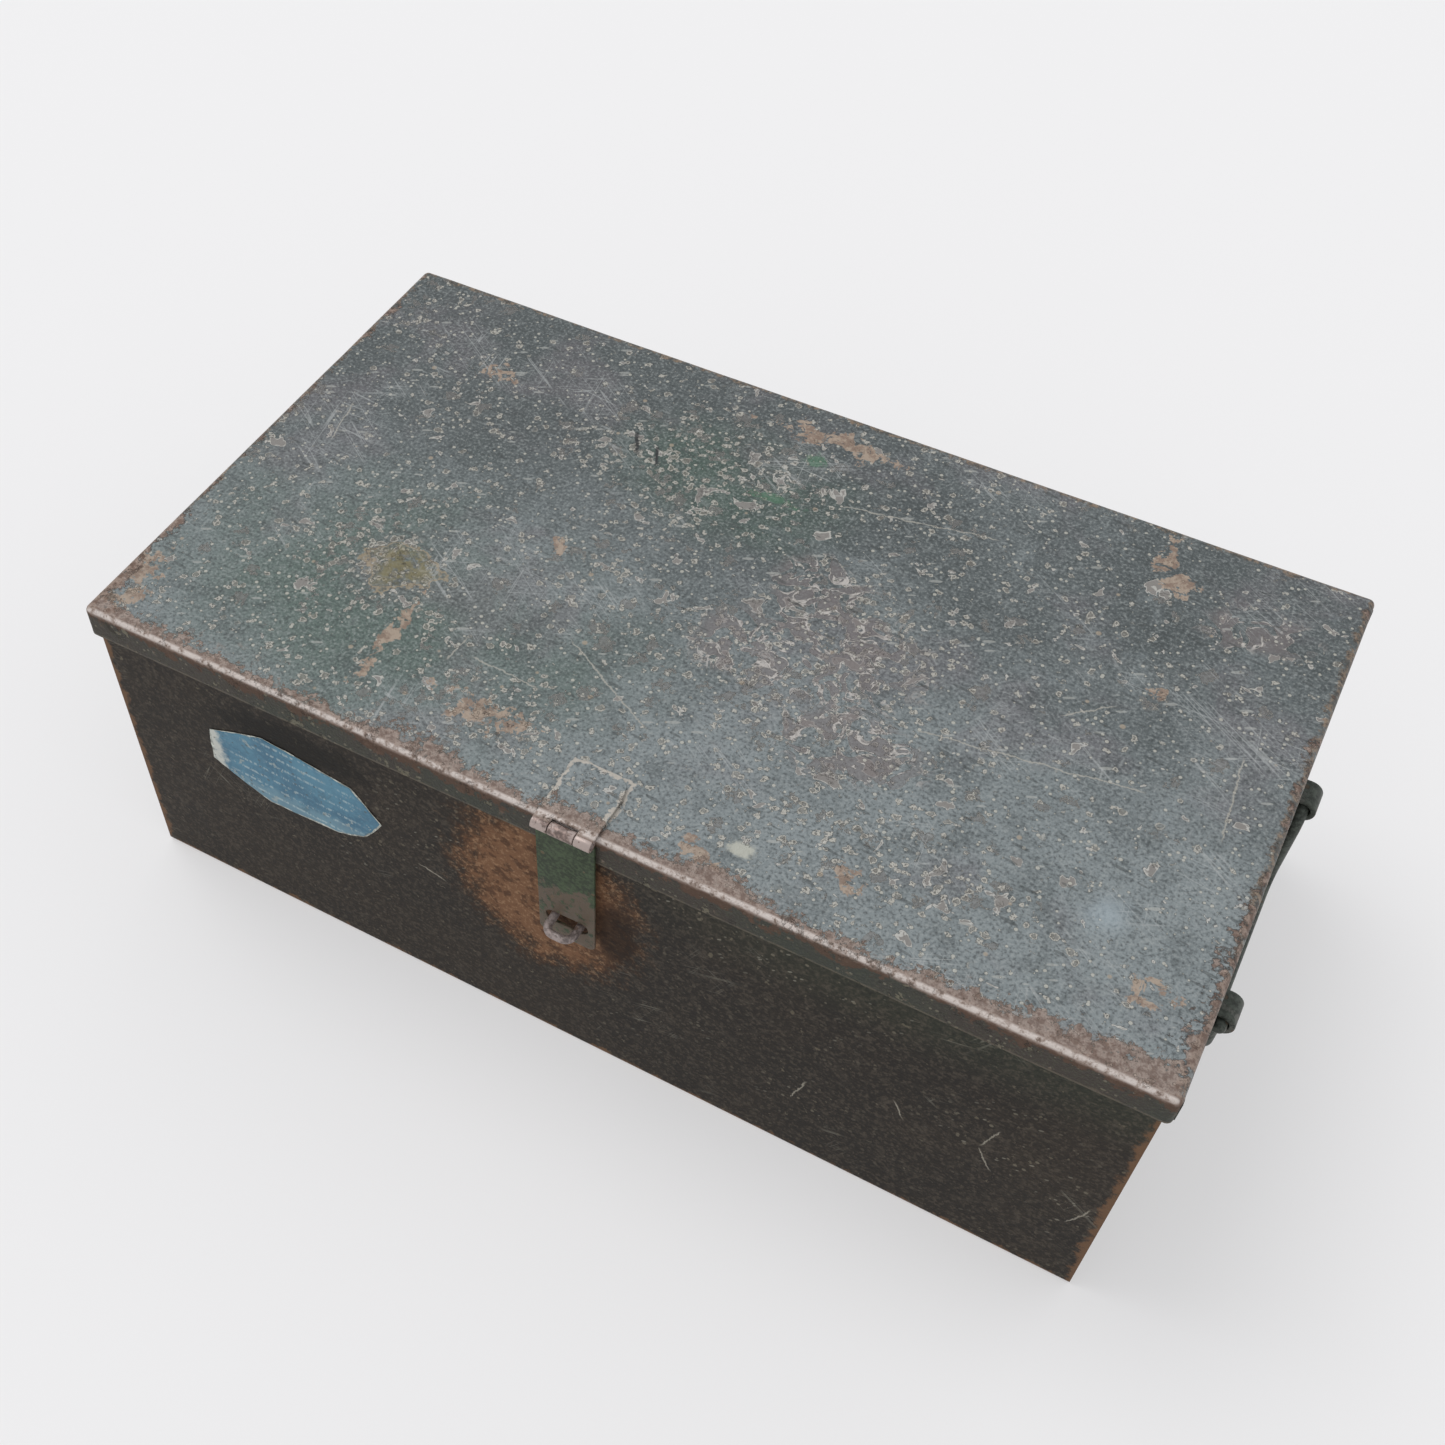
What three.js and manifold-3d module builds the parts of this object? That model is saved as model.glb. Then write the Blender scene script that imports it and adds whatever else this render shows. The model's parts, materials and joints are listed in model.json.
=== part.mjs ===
// A sheet-steel toolbox with a capped lid, a lift-out tray, a hasp and staple and two drop handles.
// Millimetres. +Z up, the front faces -Y, left is -X. The origin is the middle of the whole
// object's footprint, on the surface that the box stands on.
import * as THREE from 'three';
import { mergeVertices } from 'three/addons/utils/BufferGeometryUtils.js';
import Module from 'manifold-3d';

const manifold = await Module();
manifold.setup();

// ---- Driving dimensions ----
const GAP = 0.3; // between pieces that touch
const SHEET = 1.2; // body and lid steel
const LID = { width: 600, depth: 340, top: 213, skirt: 20, edgeRadius: 4, cornerRadius: 3 };
const OVERHANG = 4; // the lid's outer face beyond the body's, on each side
const RIM = { thickness: 3, height: 8, underLid: 0.5 }; // hem along the body's mouth
const END_FLANGE = 12;
const FOLD_RADIUS = 3; // bottom folds of the body

const HINGE = {
  spacing: 360, width: 50, leaf: 1.5, barrel: 3.6, pin: 1.5, middle: 18, play: 0.4,
  lidLeafTop: 16, bodyLeafDrop: 30, stopReach: 5.6, stopAngle: 105, rivetSpacing: 30,
  rivetDrop: 0.65, // share of the body leaf's height, from the axis down
};
const HASP = {
  x: -2, width: 33, leaf: 1.6, barrel: 3.4, pin: 1.5, middle: 14, play: 0.4,
  depth: 42, length: 96, endRadius: 4, slotWidth: 25, slotHeight: 9, slotRise: 16,
};
const STAPLE = { wire: 2.3, pitch: 15.2, reach: 16, plateWidth: 40, plateHeight: 24, plate: 1.5 };
const HANDLE = {
  height: 151.6, bracketSpacing: 146, bracketWidth: 15.6, strap: 3, rod: 4, standOff: 10.5,
  bore: 4.5, flange: 20, drop: 55, proud: 4, rivetOffset: 13,
};
const TRAY = {
  width: 582, depth: 322, height: 56, underRim: 22.3, sheet: 1, hem: 2, hemHeight: 6,
  dividerY: 70, crossX: 100, dividerHeight: 44,
};
const TRAY_BAIL = { rod: 2, bore: 2.3, clip: 1.1, clipWidth: 7, clipY: 57, legY: 49.5, endY: 62 };
const TRAY_BAIL_DROP = 30;
const TRAY_BAIL_BELOW_RIM = 14;
const RAIL = { length: 290, ledge: 14, leg: 15, sheet: 1.2, rivetY: 110 };
const RIVET = { shank: 2, hole: 2.3, head: 4, crown: 1.8, tailHead: 3.5, tail: 1, sides: 8 };
const LABEL_THICKNESS = 0.3;
const ROUND_SIDES = 12; // facets round a barrel
const ARC_STEPS = 4; // half the facets of each arc in a profile

// ---- Positions that follow from them ----
const bodyHalfWidth = LID.width / 2 - OVERHANG;
const bodyHalfDepth = LID.depth / 2 - OVERHANG;
const lidUnder = LID.top - SHEET;
const rimTop = lidUnder - RIM.underLid;
const skirtBottom = LID.top - LID.skirt;
const hingeY = LID.depth / 2 + GAP + HINGE.barrel;
const hingeZ = skirtBottom - HINGE.barrel - HINGE.play;
const haspY = -(LID.depth / 2 + GAP + HASP.barrel);
const haspZ = LID.top + GAP + HASP.leaf - HASP.barrel;
const stapleZ = haspZ - HASP.length + HASP.slotRise;
const stapleFront = -(bodyHalfDepth + STAPLE.reach + STAPLE.wire);
const trayTop = rimTop - TRAY.underRim;
const trayBottom = trayTop - TRAY.height;
const railTop = trayBottom - GAP;
const centreShift = -(stapleFront + hingeY + HINGE.barrel) / 2;

// ---- Finishes ----
const FINISHES = {
  lidPaint: { color: 0x646c70, roughness: 0.55, metalness: 0.2 },
  bodyPaint: { color: 0x38332e, roughness: 0.6, metalness: 0.2 },
  greenPaint: { color: 0x3c4837, roughness: 0.6, metalness: 0.2 },
  bareSteel: { color: 0x6e6764, roughness: 0.45, metalness: 0.8 },
  darkSteel: { color: 0x454a47, roughness: 0.5, metalness: 0.7 },
  trayPaint: { color: 0x4a4f4c, roughness: 0.6, metalness: 0.3 },
  paper: { color: 0x4b8caa, roughness: 0.8, metalness: 0 },
};

// ---- Small tools ----
function toSolid(geometry) {
  const bare = geometry.clone();
  bare.deleteAttribute('normal');
  bare.deleteAttribute('uv');
  const merged = mergeVertices(bare, 1e-4);
  const mesh = new manifold.Mesh({
    numProp: 3,
    vertProperties: new Float32Array(merged.attributes.position.array),
    triVerts: new Uint32Array(merged.index.array),
  });
  return new manifold.Manifold(mesh);
}

function toGeometry(solid) {
  const { vertProperties, triVerts } = solid.getMesh();
  const geometry = new THREE.BufferGeometry();
  geometry.setAttribute('position', new THREE.BufferAttribute(vertProperties, 3));
  geometry.setIndex(new THREE.BufferAttribute(triVerts, 1));
  const faceted = geometry.toNonIndexed();
  faceted.computeVertexNormals();
  return faceted;
}

function box([x0, x1], [y0, y1], [z0, z1]) {
  const geometry = new THREE.BoxGeometry(x1 - x0, y1 - y0, z1 - z0);
  geometry.translate((x0 + x1) / 2, (y0 + y1) / 2, (z0 + z1) / 2);
  return toSolid(geometry);
}

function outline(points) {
  return new THREE.Shape(points.map(([a, b]) => new THREE.Vector2(a, b)));
}

// A profile drawn in Y and Z, pulled along X.
function pullAlongX(shape, x0, x1) {
  const options = { depth: x1 - x0, bevelEnabled: false, curveSegments: ARC_STEPS };
  const geometry = new THREE.ExtrudeGeometry(shape, options);
  const turn = new THREE.Matrix4().makeBasis(
    new THREE.Vector3(0, 1, 0),
    new THREE.Vector3(0, 0, 1),
    new THREE.Vector3(1, 0, 0),
  );
  geometry.applyMatrix4(turn);
  geometry.translate(x0, 0, 0);
  return toSolid(geometry);
}

// A profile drawn in X and Z, pulled along Y.
function pullAlongY(shape, y0, y1) {
  const options = { depth: y1 - y0, bevelEnabled: false, curveSegments: ARC_STEPS };
  const geometry = new THREE.ExtrudeGeometry(shape, options);
  geometry.rotateX(Math.PI / 2);
  geometry.translate(0, y1, 0);
  return toSolid(geometry);
}

function rodAlong(axis, radius, from, to, [a, b]) {
  const geometry = new THREE.CylinderGeometry(radius, radius, to - from, ROUND_SIDES);
  const middle = (from + to) / 2;
  if (axis === 'x') {
    geometry.rotateZ(Math.PI / 2);
    geometry.translate(middle, a, b);
  } else {
    geometry.translate(a, middle, b);
  }
  return toSolid(geometry);
}

function barrel(axis, outer, inner, from, to, centre) {
  const slack = 1;
  const hole = rodAlong(axis, inner, from - slack, to + slack, centre);
  return rodAlong(axis, outer, from, to, centre).subtract(hole);
}

// Round wire along straight runs joined by round corners.
function bentRod(corners, radius, bend, sides, steps) {
  const path = new THREE.CurvePath();
  const points = corners.map((p) => new THREE.Vector3(...p));
  let start = points[0];
  for (let i = 1; i < points.length - 1; i += 1) {
    const toCorner = points[i].clone().sub(points[i - 1]).normalize();
    const fromCorner = points[i + 1].clone().sub(points[i]).normalize();
    const into = points[i].clone().addScaledVector(toCorner, -bend);
    const out = points[i].clone().addScaledVector(fromCorner, bend);
    path.add(new THREE.LineCurve3(start, into));
    path.add(new THREE.QuadraticBezierCurve3(into, points[i], out));
    start = out;
  }
  path.add(new THREE.LineCurve3(start, points[points.length - 1]));
  const section = new THREE.Shape();
  section.absarc(0, 0, radius, 0, 2 * Math.PI, false);
  const options = { steps, extrudePath: path, curveSegments: sides / 2, bevelEnabled: false };
  return toSolid(new THREE.ExtrudeGeometry(section, options));
}

// ---- Rivets: each goes through holes in the pieces that it joins ----
const rivets = [];

function addRivet(name, at, outward, grip, through, finish) {
  rivets.push({ name, at: new THREE.Vector3(...at), outward, grip, through, finish });
}

function rivetGeometry(grip) {
  const { shank, head, crown, tailHead, tail } = RIVET;
  const profile = [
    [0, -grip - tail], [tailHead, -grip - tail], [tailHead, -grip], [shank, -grip],
    [shank, 0], [head, 0], [head * 0.7, crown * 0.75], [0, crown],
  ];
  const points = profile.map(([r, h]) => new THREE.Vector2(r, h));
  return new THREE.LatheGeometry(points, RIVET.sides);
}

function turnTowards(geometry, outward) {
  const up = new THREE.Vector3(0, 1, 0);
  const turn = new THREE.Quaternion().setFromUnitVectors(up, new THREE.Vector3(...outward));
  geometry.applyQuaternion(turn);
  return geometry;
}

// ---- Body ----
function bodyWrap() {
  const y = bodyHalfDepth;
  const r = FOLD_RADIUS;
  const hemBottom = rimTop - RIM.height;
  const shape = new THREE.Shape();
  shape.moveTo(-y, rimTop);
  shape.lineTo(-y, r);
  shape.absarc(-y + r, r, r, Math.PI, 1.5 * Math.PI, false);
  shape.lineTo(y - r, 0);
  shape.absarc(y - r, r, r, 1.5 * Math.PI, 2 * Math.PI, false);
  shape.lineTo(y, rimTop);
  shape.lineTo(y - RIM.thickness, rimTop);
  shape.lineTo(y - RIM.thickness, hemBottom);
  shape.lineTo(y - SHEET, hemBottom);
  shape.lineTo(y - SHEET, r);
  shape.absarc(y - r, r, r - SHEET, 0, -Math.PI / 2, true);
  shape.lineTo(-y + r, SHEET);
  shape.absarc(-y + r, r, r - SHEET, 1.5 * Math.PI, Math.PI, true);
  shape.lineTo(-y + SHEET, hemBottom);
  shape.lineTo(-y + RIM.thickness, hemBottom);
  shape.lineTo(-y + RIM.thickness, rimTop);
  return pullAlongX(shape, -bodyHalfWidth, bodyHalfWidth);
}

function endPanel(side) {
  const outer = bodyHalfWidth;
  const y = bodyHalfDepth - SHEET - GAP;
  const floor = SHEET + GAP;
  const hemBottom = rimTop - RIM.height;
  const inner = y - SHEET;
  const past = 5;
  const plate = box([outer - END_FLANGE, outer], [-y, y], [floor, rimTop]);
  const pan = plate
    .subtract(box([0, outer - SHEET], [-inner, inner], [floor + SHEET, hemBottom]))
    .subtract(box([0, outer - RIM.thickness], [-inner, inner], [hemBottom - 1, rimTop + past]));
  let panel = pan;
  for (const end of [-1, 1]) {
    const notch = [end * (y - RIM.thickness), end * (y + past)].sort((a, b) => a - b);
    panel = panel.subtract(box([0, outer + past], notch, [hemBottom - GAP, rimTop + past]));
    const corner = [end * (y - FOLD_RADIUS), end * (y + past)].sort((a, b) => a - b);
    panel = panel.subtract(box([0, outer + past], corner, [0, floor + FOLD_RADIUS]));
  }
  return side > 0 ? panel : panel.mirror([1, 0, 0]);
}

function rail(side) {
  const wall = bodyHalfWidth - SHEET - GAP;
  const profile = outline([
    [wall, railTop],
    [wall - RAIL.ledge, railTop],
    [wall - RAIL.ledge, railTop - RAIL.sheet],
    [wall - RAIL.sheet, railTop - RAIL.sheet],
    [wall - RAIL.sheet, railTop - RAIL.leg],
    [wall, railTop - RAIL.leg],
  ]);
  const solid = pullAlongY(profile, -RAIL.length / 2, RAIL.length / 2);
  return side > 0 ? solid : solid.mirror([1, 0, 0]);
}

function staple() {
  const wall = -bodyHalfDepth + SHEET;
  const inside = wall + GAP + STAPLE.plate + 1;
  const front = -(bodyHalfDepth + STAPLE.reach);
  const left = HASP.x - STAPLE.pitch / 2;
  const right = HASP.x + STAPLE.pitch / 2;
  const corners = [
    [left, inside, stapleZ], [left, front, stapleZ], [right, front, stapleZ],
    [right, inside, stapleZ],
  ];
  return bentRod(corners, STAPLE.wire, STAPLE.pitch / 2 - 0.1, 8, 24);
}

function staplePlate() {
  const y = -bodyHalfDepth + SHEET + GAP;
  const halfWidth = STAPLE.plateWidth / 2;
  const halfHeight = STAPLE.plateHeight / 2;
  return box(
    [HASP.x - halfWidth, HASP.x + halfWidth],
    [y, y + STAPLE.plate],
    [stapleZ - halfHeight, stapleZ + halfHeight],
  );
}

function stapleHoles() {
  const inside = -bodyHalfDepth + 10;
  const outside = -bodyHalfDepth - 5;
  const holes = [-1, 1].map((side) => {
    const x = HASP.x + (side * STAPLE.pitch) / 2;
    return rodAlong('y', STAPLE.wire + GAP, outside, inside, [x, stapleZ]);
  });
  return holes[0].add(holes[1]);
}

function label() {
  const shape = outline([
    [-233, 147], [-236, 120], [-199, 101], [-152, 103], [-133, 111], [-120, 131], [-137, 153],
    [-171, 159], [-195, 162],
  ]);
  const front = -bodyHalfDepth - GAP;
  return pullAlongY(shape, front - LABEL_THICKNESS, front);
}

// ---- Handles ----
function bracket(side, y) {
  const { flange, strap, standOff, bore } = HANDLE;
  const outer = bore + strap;
  const shape = new THREE.Shape();
  shape.moveTo(GAP, flange);
  shape.lineTo(GAP, bore);
  shape.lineTo(standOff, bore);
  shape.absarc(standOff, 0, bore, Math.PI / 2, -Math.PI / 2, true);
  shape.lineTo(GAP, -bore);
  shape.lineTo(GAP, -flange);
  shape.lineTo(GAP + strap, -flange);
  shape.lineTo(GAP + strap, -outer);
  shape.lineTo(standOff, -outer);
  shape.absarc(standOff, 0, outer, -Math.PI / 2, Math.PI / 2, false);
  shape.lineTo(GAP + strap, outer);
  shape.lineTo(GAP + strap, flange);
  const half = HANDLE.bracketWidth / 2;
  const solid = pullAlongY(shape, y - half, y + half);
  const placed = solid.translate([bodyHalfWidth, 0, HANDLE.height]);
  return side > 0 ? placed : placed.mirror([1, 0, 0]);
}

function handle(side) {
  const x = side * (bodyHalfWidth + HANDLE.standOff);
  const top = HANDLE.height;
  const bottom = HANDLE.height - HANDLE.drop;
  const end = (HANDLE.bracketSpacing + HANDLE.bracketWidth) / 2 + HANDLE.proud;
  const leg = (HANDLE.bracketSpacing - HANDLE.bracketWidth) / 2 - HANDLE.rod - 1.5;
  const corners = [
    [x, -end, top], [x, -leg, top], [x, -leg, bottom], [x, leg, bottom], [x, leg, top],
    [x, end, top],
  ];
  return bentRod(corners, HANDLE.rod, 8, 8, 56);
}

// ---- Lid ----
function lidShell() {
  const halfWidth = LID.width / 2;
  const halfDepth = LID.depth / 2;
  const r = LID.edgeRadius;
  const c = LID.cornerRadius;
  const past = 5;
  const shape = new THREE.Shape();
  shape.absarc(halfWidth - r - c, halfDepth - r - c, c, 0, Math.PI / 2, false);
  shape.absarc(-halfWidth + r + c, halfDepth - r - c, c, Math.PI / 2, Math.PI, false);
  shape.absarc(-halfWidth + r + c, -halfDepth + r + c, c, Math.PI, 1.5 * Math.PI, false);
  shape.absarc(halfWidth - r - c, -halfDepth + r + c, c, 1.5 * Math.PI, 2 * Math.PI, false);
  const options = {
    depth: LID.skirt - r + past, bevelEnabled: true, bevelThickness: r, bevelSize: r,
    bevelSegments: 4, curveSegments: 3,
  };
  const geometry = new THREE.ExtrudeGeometry(shape, options);
  geometry.translate(0, 0, skirtBottom - past);
  const block = toSolid(geometry);
  const below = box(
    [-halfWidth - past, halfWidth + past],
    [-halfDepth - past, halfDepth + past],
    [skirtBottom - past * 3, skirtBottom],
  );
  const hollow = box(
    [-halfWidth + SHEET, halfWidth - SHEET],
    [-halfDepth + SHEET, halfDepth - SHEET],
    [skirtBottom - past, lidUnder - 2],
  );
  const upperHollow = box(
    [-halfWidth + r, halfWidth - r],
    [-halfDepth + r, halfDepth - r],
    [skirtBottom, lidUnder],
  );
  return block.subtract(below).subtract(hollow).subtract(upperHollow);
}

// ---- Hinges ----
function lidLeaf(x) {
  const { width, leaf, barrel: radius, pin, middle, play, lidLeafTop, stopReach } = HINGE;
  const inner = hingeY - radius;
  const half = middle / 2;
  const plate = box(
    [x - width / 2, x + width / 2],
    [inner, inner + leaf],
    [hingeZ + radius + play, hingeZ + lidLeafTop],
  );
  const neck = box([x - half, x + half], [inner, inner + leaf], [hingeZ, hingeZ + lidLeafTop]);
  const curl = rodAlong('x', radius, x - half, x + half, [hingeY, hingeZ]);
  const lip = box([-half, half], [-leaf / 2, leaf / 2], [-stopReach, 0])
    .rotate([HINGE.stopAngle - 90, 0, 0])
    .translate([x, hingeY, hingeZ]);
  const bore = rodAlong('x', pin + GAP, x - middle, x + middle, [hingeY, hingeZ]);
  return plate.add(neck).add(curl).add(lip).subtract(bore);
}

function bodyLeaf(x) {
  const { width, leaf, barrel: radius, pin, middle, play, bodyLeafDrop } = HINGE;
  const wall = bodyHalfDepth + GAP;
  const underCurl = hingeZ - radius;
  let solid = box(
    [x - width / 2, x + width / 2],
    [wall, wall + leaf],
    [hingeZ - bodyLeafDrop, underCurl - 1],
  );
  for (const side of [-1, 1]) {
    const near = x + side * (middle / 2 + play);
    const far = x + (side * width) / 2;
    const span = [near, far].sort((a, b) => a - b);
    const joggle = box(span, [wall, hingeY], [underCurl, underCurl + leaf]);
    const neck = box(span, [wall, wall + leaf], [underCurl - 2, underCurl + leaf]);
    const curl = rodAlong('x', radius, span[0], span[1], [hingeY, hingeZ]);
    solid = solid.add(joggle).add(neck).add(curl);
  }
  const bore = rodAlong('x', pin + GAP, x - width, x + width, [hingeY, hingeZ]);
  return solid.subtract(bore);
}

// ---- Hasp ----
function haspLeaf() {
  const { x, width, leaf, barrel: radius, pin, middle, play, depth } = HASP;
  const half = width / 2;
  const bottom = haspZ + radius - leaf;
  const back = haspY + depth;
  // The back corners are cut by hand, so the two differ: [in from the side, ahead of the back].
  const rightCut = [[0, 12], [3, 3], [7, 0]];
  const leftCut = [[6, 0], [2, 3], [0, 12]];
  const shape = outline([
    [x - half, haspY],
    [x + half, haspY],
    ...rightCut.map(([inward, ahead]) => [x + half - inward, back - ahead]),
    ...leftCut.map(([inward, ahead]) => [x - half + inward, back - ahead]),
  ]);
  const plateGeometry = new THREE.ExtrudeGeometry(shape, { depth: leaf, bevelEnabled: false });
  plateGeometry.translate(0, 0, bottom);
  let solid = toSolid(plateGeometry);
  const window = middle / 2 + play;
  solid = solid.subtract(
    box(
      [x - window, x + window],
      [haspY - radius, haspY + radius + play],
      [bottom - 1, bottom + leaf + 1],
    ),
  );
  for (const side of [-1, 1]) {
    const span = [x + side * window, x + side * half].sort((a, b) => a - b);
    solid = solid.add(rodAlong('x', radius, span[0], span[1], [haspY, haspZ]));
  }
  const bore = rodAlong('x', pin + GAP, x - width, x + width, [haspY, haspZ]);
  return solid.subtract(bore);
}

function haspStrap() {
  const { x, width, leaf, barrel: radius, pin, middle, play, length, endRadius } = HASP;
  const half = width / 2;
  const shape = new THREE.Shape();
  const bottom = haspZ - length;
  shape.moveTo(x + half, haspZ - radius - play);
  shape.lineTo(x - half, haspZ - radius - play);
  shape.lineTo(x - half, bottom + endRadius);
  shape.absarc(x - half + endRadius, bottom + endRadius, endRadius, Math.PI, 1.5 * Math.PI, false);
  shape.lineTo(x + half - endRadius, bottom);
  shape.absarc(
    x + half - endRadius, bottom + endRadius, endRadius, 1.5 * Math.PI, 2 * Math.PI, false,
  );
  const slot = new THREE.Path();
  const slotHalf = HASP.slotWidth / 2;
  const tall = HASP.slotHeight / 2;
  slot.moveTo(x - slotHalf + tall, stapleZ + tall);
  slot.absarc(x - slotHalf + tall, stapleZ, tall, Math.PI / 2, 1.5 * Math.PI, false);
  slot.lineTo(x + slotHalf - tall, stapleZ - tall);
  slot.absarc(x + slotHalf - tall, stapleZ, tall, 1.5 * Math.PI, 2.5 * Math.PI, false);
  shape.holes.push(slot);
  const back = haspY + radius;
  const plate = pullAlongY(shape, back - leaf, back);
  const neck = box(
    [x - middle / 2, x + middle / 2],
    [back - leaf, back],
    [haspZ - radius - 2, haspZ],
  );
  const curl = rodAlong('x', radius, x - middle / 2, x + middle / 2, [haspY, haspZ]);
  const bore = rodAlong('x', pin + GAP, x - width, x + width, [haspY, haspZ]);
  return plate.add(neck).add(curl).subtract(bore);
}

// ---- Tray ----
function trayPan() {
  const { width, depth, sheet, hem, hemHeight } = TRAY;
  const x = width / 2;
  const y = depth / 2;
  const above = trayTop + 5;
  return box([-x, x], [-y, y], [trayBottom, trayTop])
    .subtract(
      box(
        [-x + sheet, x - sheet],
        [-y + sheet, y - sheet],
        [trayBottom + sheet, trayTop - hemHeight],
      ),
    )
    .subtract(box([-x + hem, x - hem], [-y + hem, y - hem], [trayTop - hemHeight - 1, above]));
}

function trayDividerLong() {
  const x = TRAY.width / 2 - TRAY.hem - GAP;
  const floor = trayBottom + TRAY.sheet + GAP;
  const half = TRAY.sheet / 2;
  const y = TRAY.dividerY;
  return box([-x, x], [y - half, y + half], [floor, floor + TRAY.dividerHeight]);
}

function trayDividerCross(side) {
  const floor = trayBottom + TRAY.sheet + GAP;
  const near = TRAY.dividerY + TRAY.sheet / 2 + GAP;
  const far = TRAY.depth / 2 - TRAY.hem - GAP;
  const half = TRAY.sheet / 2;
  const x = side * TRAY.crossX;
  return box([x - half, x + half], [near, far], [floor, floor + TRAY.dividerHeight]);
}

const clipWall = TRAY.width / 2 - TRAY.sheet - GAP; // inner face of the tray's end wall
const clipRadius = TRAY_BAIL.bore + TRAY_BAIL.clip;
const trayBailX = clipWall - clipRadius;
const trayBailZ = trayTop - TRAY_BAIL_BELOW_RIM;

function trayClip(side, y) {
  const half = TRAY_BAIL.clipWidth / 2;
  const ring = barrel('y', clipRadius, TRAY_BAIL.bore, y - half, y + half, [trayBailX, trayBailZ]);
  const tab = box(
    [clipWall - TRAY_BAIL.clip, clipWall],
    [y - half, y + half],
    [trayBailZ - 12, trayBailZ],
  );
  const solid = ring.add(tab);
  return side > 0 ? solid : solid.mirror([1, 0, 0]);
}

function trayBail(side) {
  const x = side * trayBailX;
  const { legY, endY } = TRAY_BAIL;
  const bottom = trayBailZ - TRAY_BAIL_DROP;
  const corners = [
    [x, -endY, trayBailZ], [x, -legY, trayBailZ], [x, -legY, bottom], [x, legY, bottom],
    [x, legY, trayBailZ], [x, endY, trayBailZ],
  ];
  return bentRod(corners, TRAY_BAIL.rod, 3.5, 6, 50);
}

// ---- Assembly ----
const pieces = new Map();

function add(name, solid, finish) {
  pieces.set(name, { solid, finish });
}

const SIDES = [['left', -1], ['right', 1]];
const ENDS = [['front', -1], ['rear', 1]];

add('body_wrap', bodyWrap().subtract(stapleHoles()), 'bodyPaint');
add('staple_plate', staplePlate().subtract(stapleHoles()), 'darkSteel');
add('hasp_staple', staple(), 'bareSteel');
add('label', label(), 'paper');
add('lid_shell', lidShell(), 'lidPaint');
add('hasp_leaf', haspLeaf(), 'lidPaint');
add('hasp_strap', haspStrap(), 'greenPaint');
const haspHalf = HASP.width / 2;
add(
  'hasp_pin',
  rodAlong('x', HASP.pin, HASP.x - haspHalf, HASP.x + haspHalf, [haspY, haspZ]),
  'bareSteel',
);
add('tray_pan', trayPan(), 'trayPaint');
add('tray_divider_long', trayDividerLong(), 'trayPaint');

for (const [name, side] of SIDES) {
  add(`end_panel_${name}`, endPanel(side), 'bodyPaint');
  add(`tray_rail_${name}`, rail(side), 'bodyPaint');
  add(`handle_${name}`, handle(side), 'darkSteel');
  add(`tray_divider_${name}`, trayDividerCross(side), 'trayPaint');
  add(`tray_bail_${name}`, trayBail(side), 'bareSteel');

  const hingeX = (side * HINGE.spacing) / 2;
  const hingeHalf = HINGE.width / 2;
  const pinSpan = [hingeX - hingeHalf, hingeX + hingeHalf];
  add(`hinge_lid_leaf_${name}`, lidLeaf(hingeX), 'lidPaint');
  add(`hinge_body_leaf_${name}`, bodyLeaf(hingeX), 'bodyPaint');
  add(`hinge_pin_${name}`, rodAlong('x', HINGE.pin, ...pinSpan, [hingeY, hingeZ]), 'bareSteel');

  for (const [end, sign] of ENDS) {
    const bracketY = (sign * HANDLE.bracketSpacing) / 2;
    const bracketName = `handle_bracket_${name}_${end}`;
    add(bracketName, bracket(side, bracketY), 'darkSteel');
    for (const [level, lift] of [['upper', 1], ['lower', -1]]) {
      const x = side * (bodyHalfWidth + GAP + HANDLE.strap + GAP);
      const z = HANDLE.height + lift * HANDLE.rivetOffset;
      const grip = HANDLE.strap + SHEET + 3 * GAP;
      const through = [bracketName, `end_panel_${name}`];
      const rivetName = `handle_rivet_${name}_${end}_${level}`;
      addRivet(rivetName, [x, bracketY, z], [side, 0, 0], grip, through, 'darkSteel');
    }
    add(`tray_clip_${name}_${end}`, trayClip(side, sign * TRAY_BAIL.clipY), 'trayPaint');
    addRivet(
      `rail_rivet_${name}_${end}`,
      [side * (bodyHalfWidth + GAP), sign * RAIL.rivetY, railTop - RAIL.leg / 2],
      [side, 0, 0],
      SHEET + RAIL.sheet + 3 * GAP,
      [`end_panel_${name}`, `tray_rail_${name}`],
      'bodyPaint',
    );
  }

  for (const [end, sign] of [['a', -1], ['b', 1]]) {
    const x = hingeX + (sign * HINGE.rivetSpacing) / 2;
    const leafFace = LID.depth / 2 + GAP + HINGE.leaf + GAP;
    const leafMiddle = hingeZ + (HINGE.barrel + HINGE.lidLeafTop) / 2;
    const grip = HINGE.leaf + SHEET + 3 * GAP;
    const lidPieces = [`hinge_lid_leaf_${name}`, 'lid_shell'];
    addRivet(
      `hinge_lid_rivet_${name}_${end}`, [x, leafFace, leafMiddle], [0, 1, 0], grip, lidPieces,
      'lidPaint',
    );
    const bodyPieces = [`hinge_body_leaf_${name}`, 'body_wrap'];
    const bodyFace = bodyHalfDepth + GAP + HINGE.leaf + GAP;
    const z = hingeZ - HINGE.bodyLeafDrop * HINGE.rivetDrop;
    addRivet(
      `hinge_body_rivet_${name}_${end}`, [x, bodyFace, z], [0, 1, 0], grip, bodyPieces,
      'bodyPaint',
    );
  }
}

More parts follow.
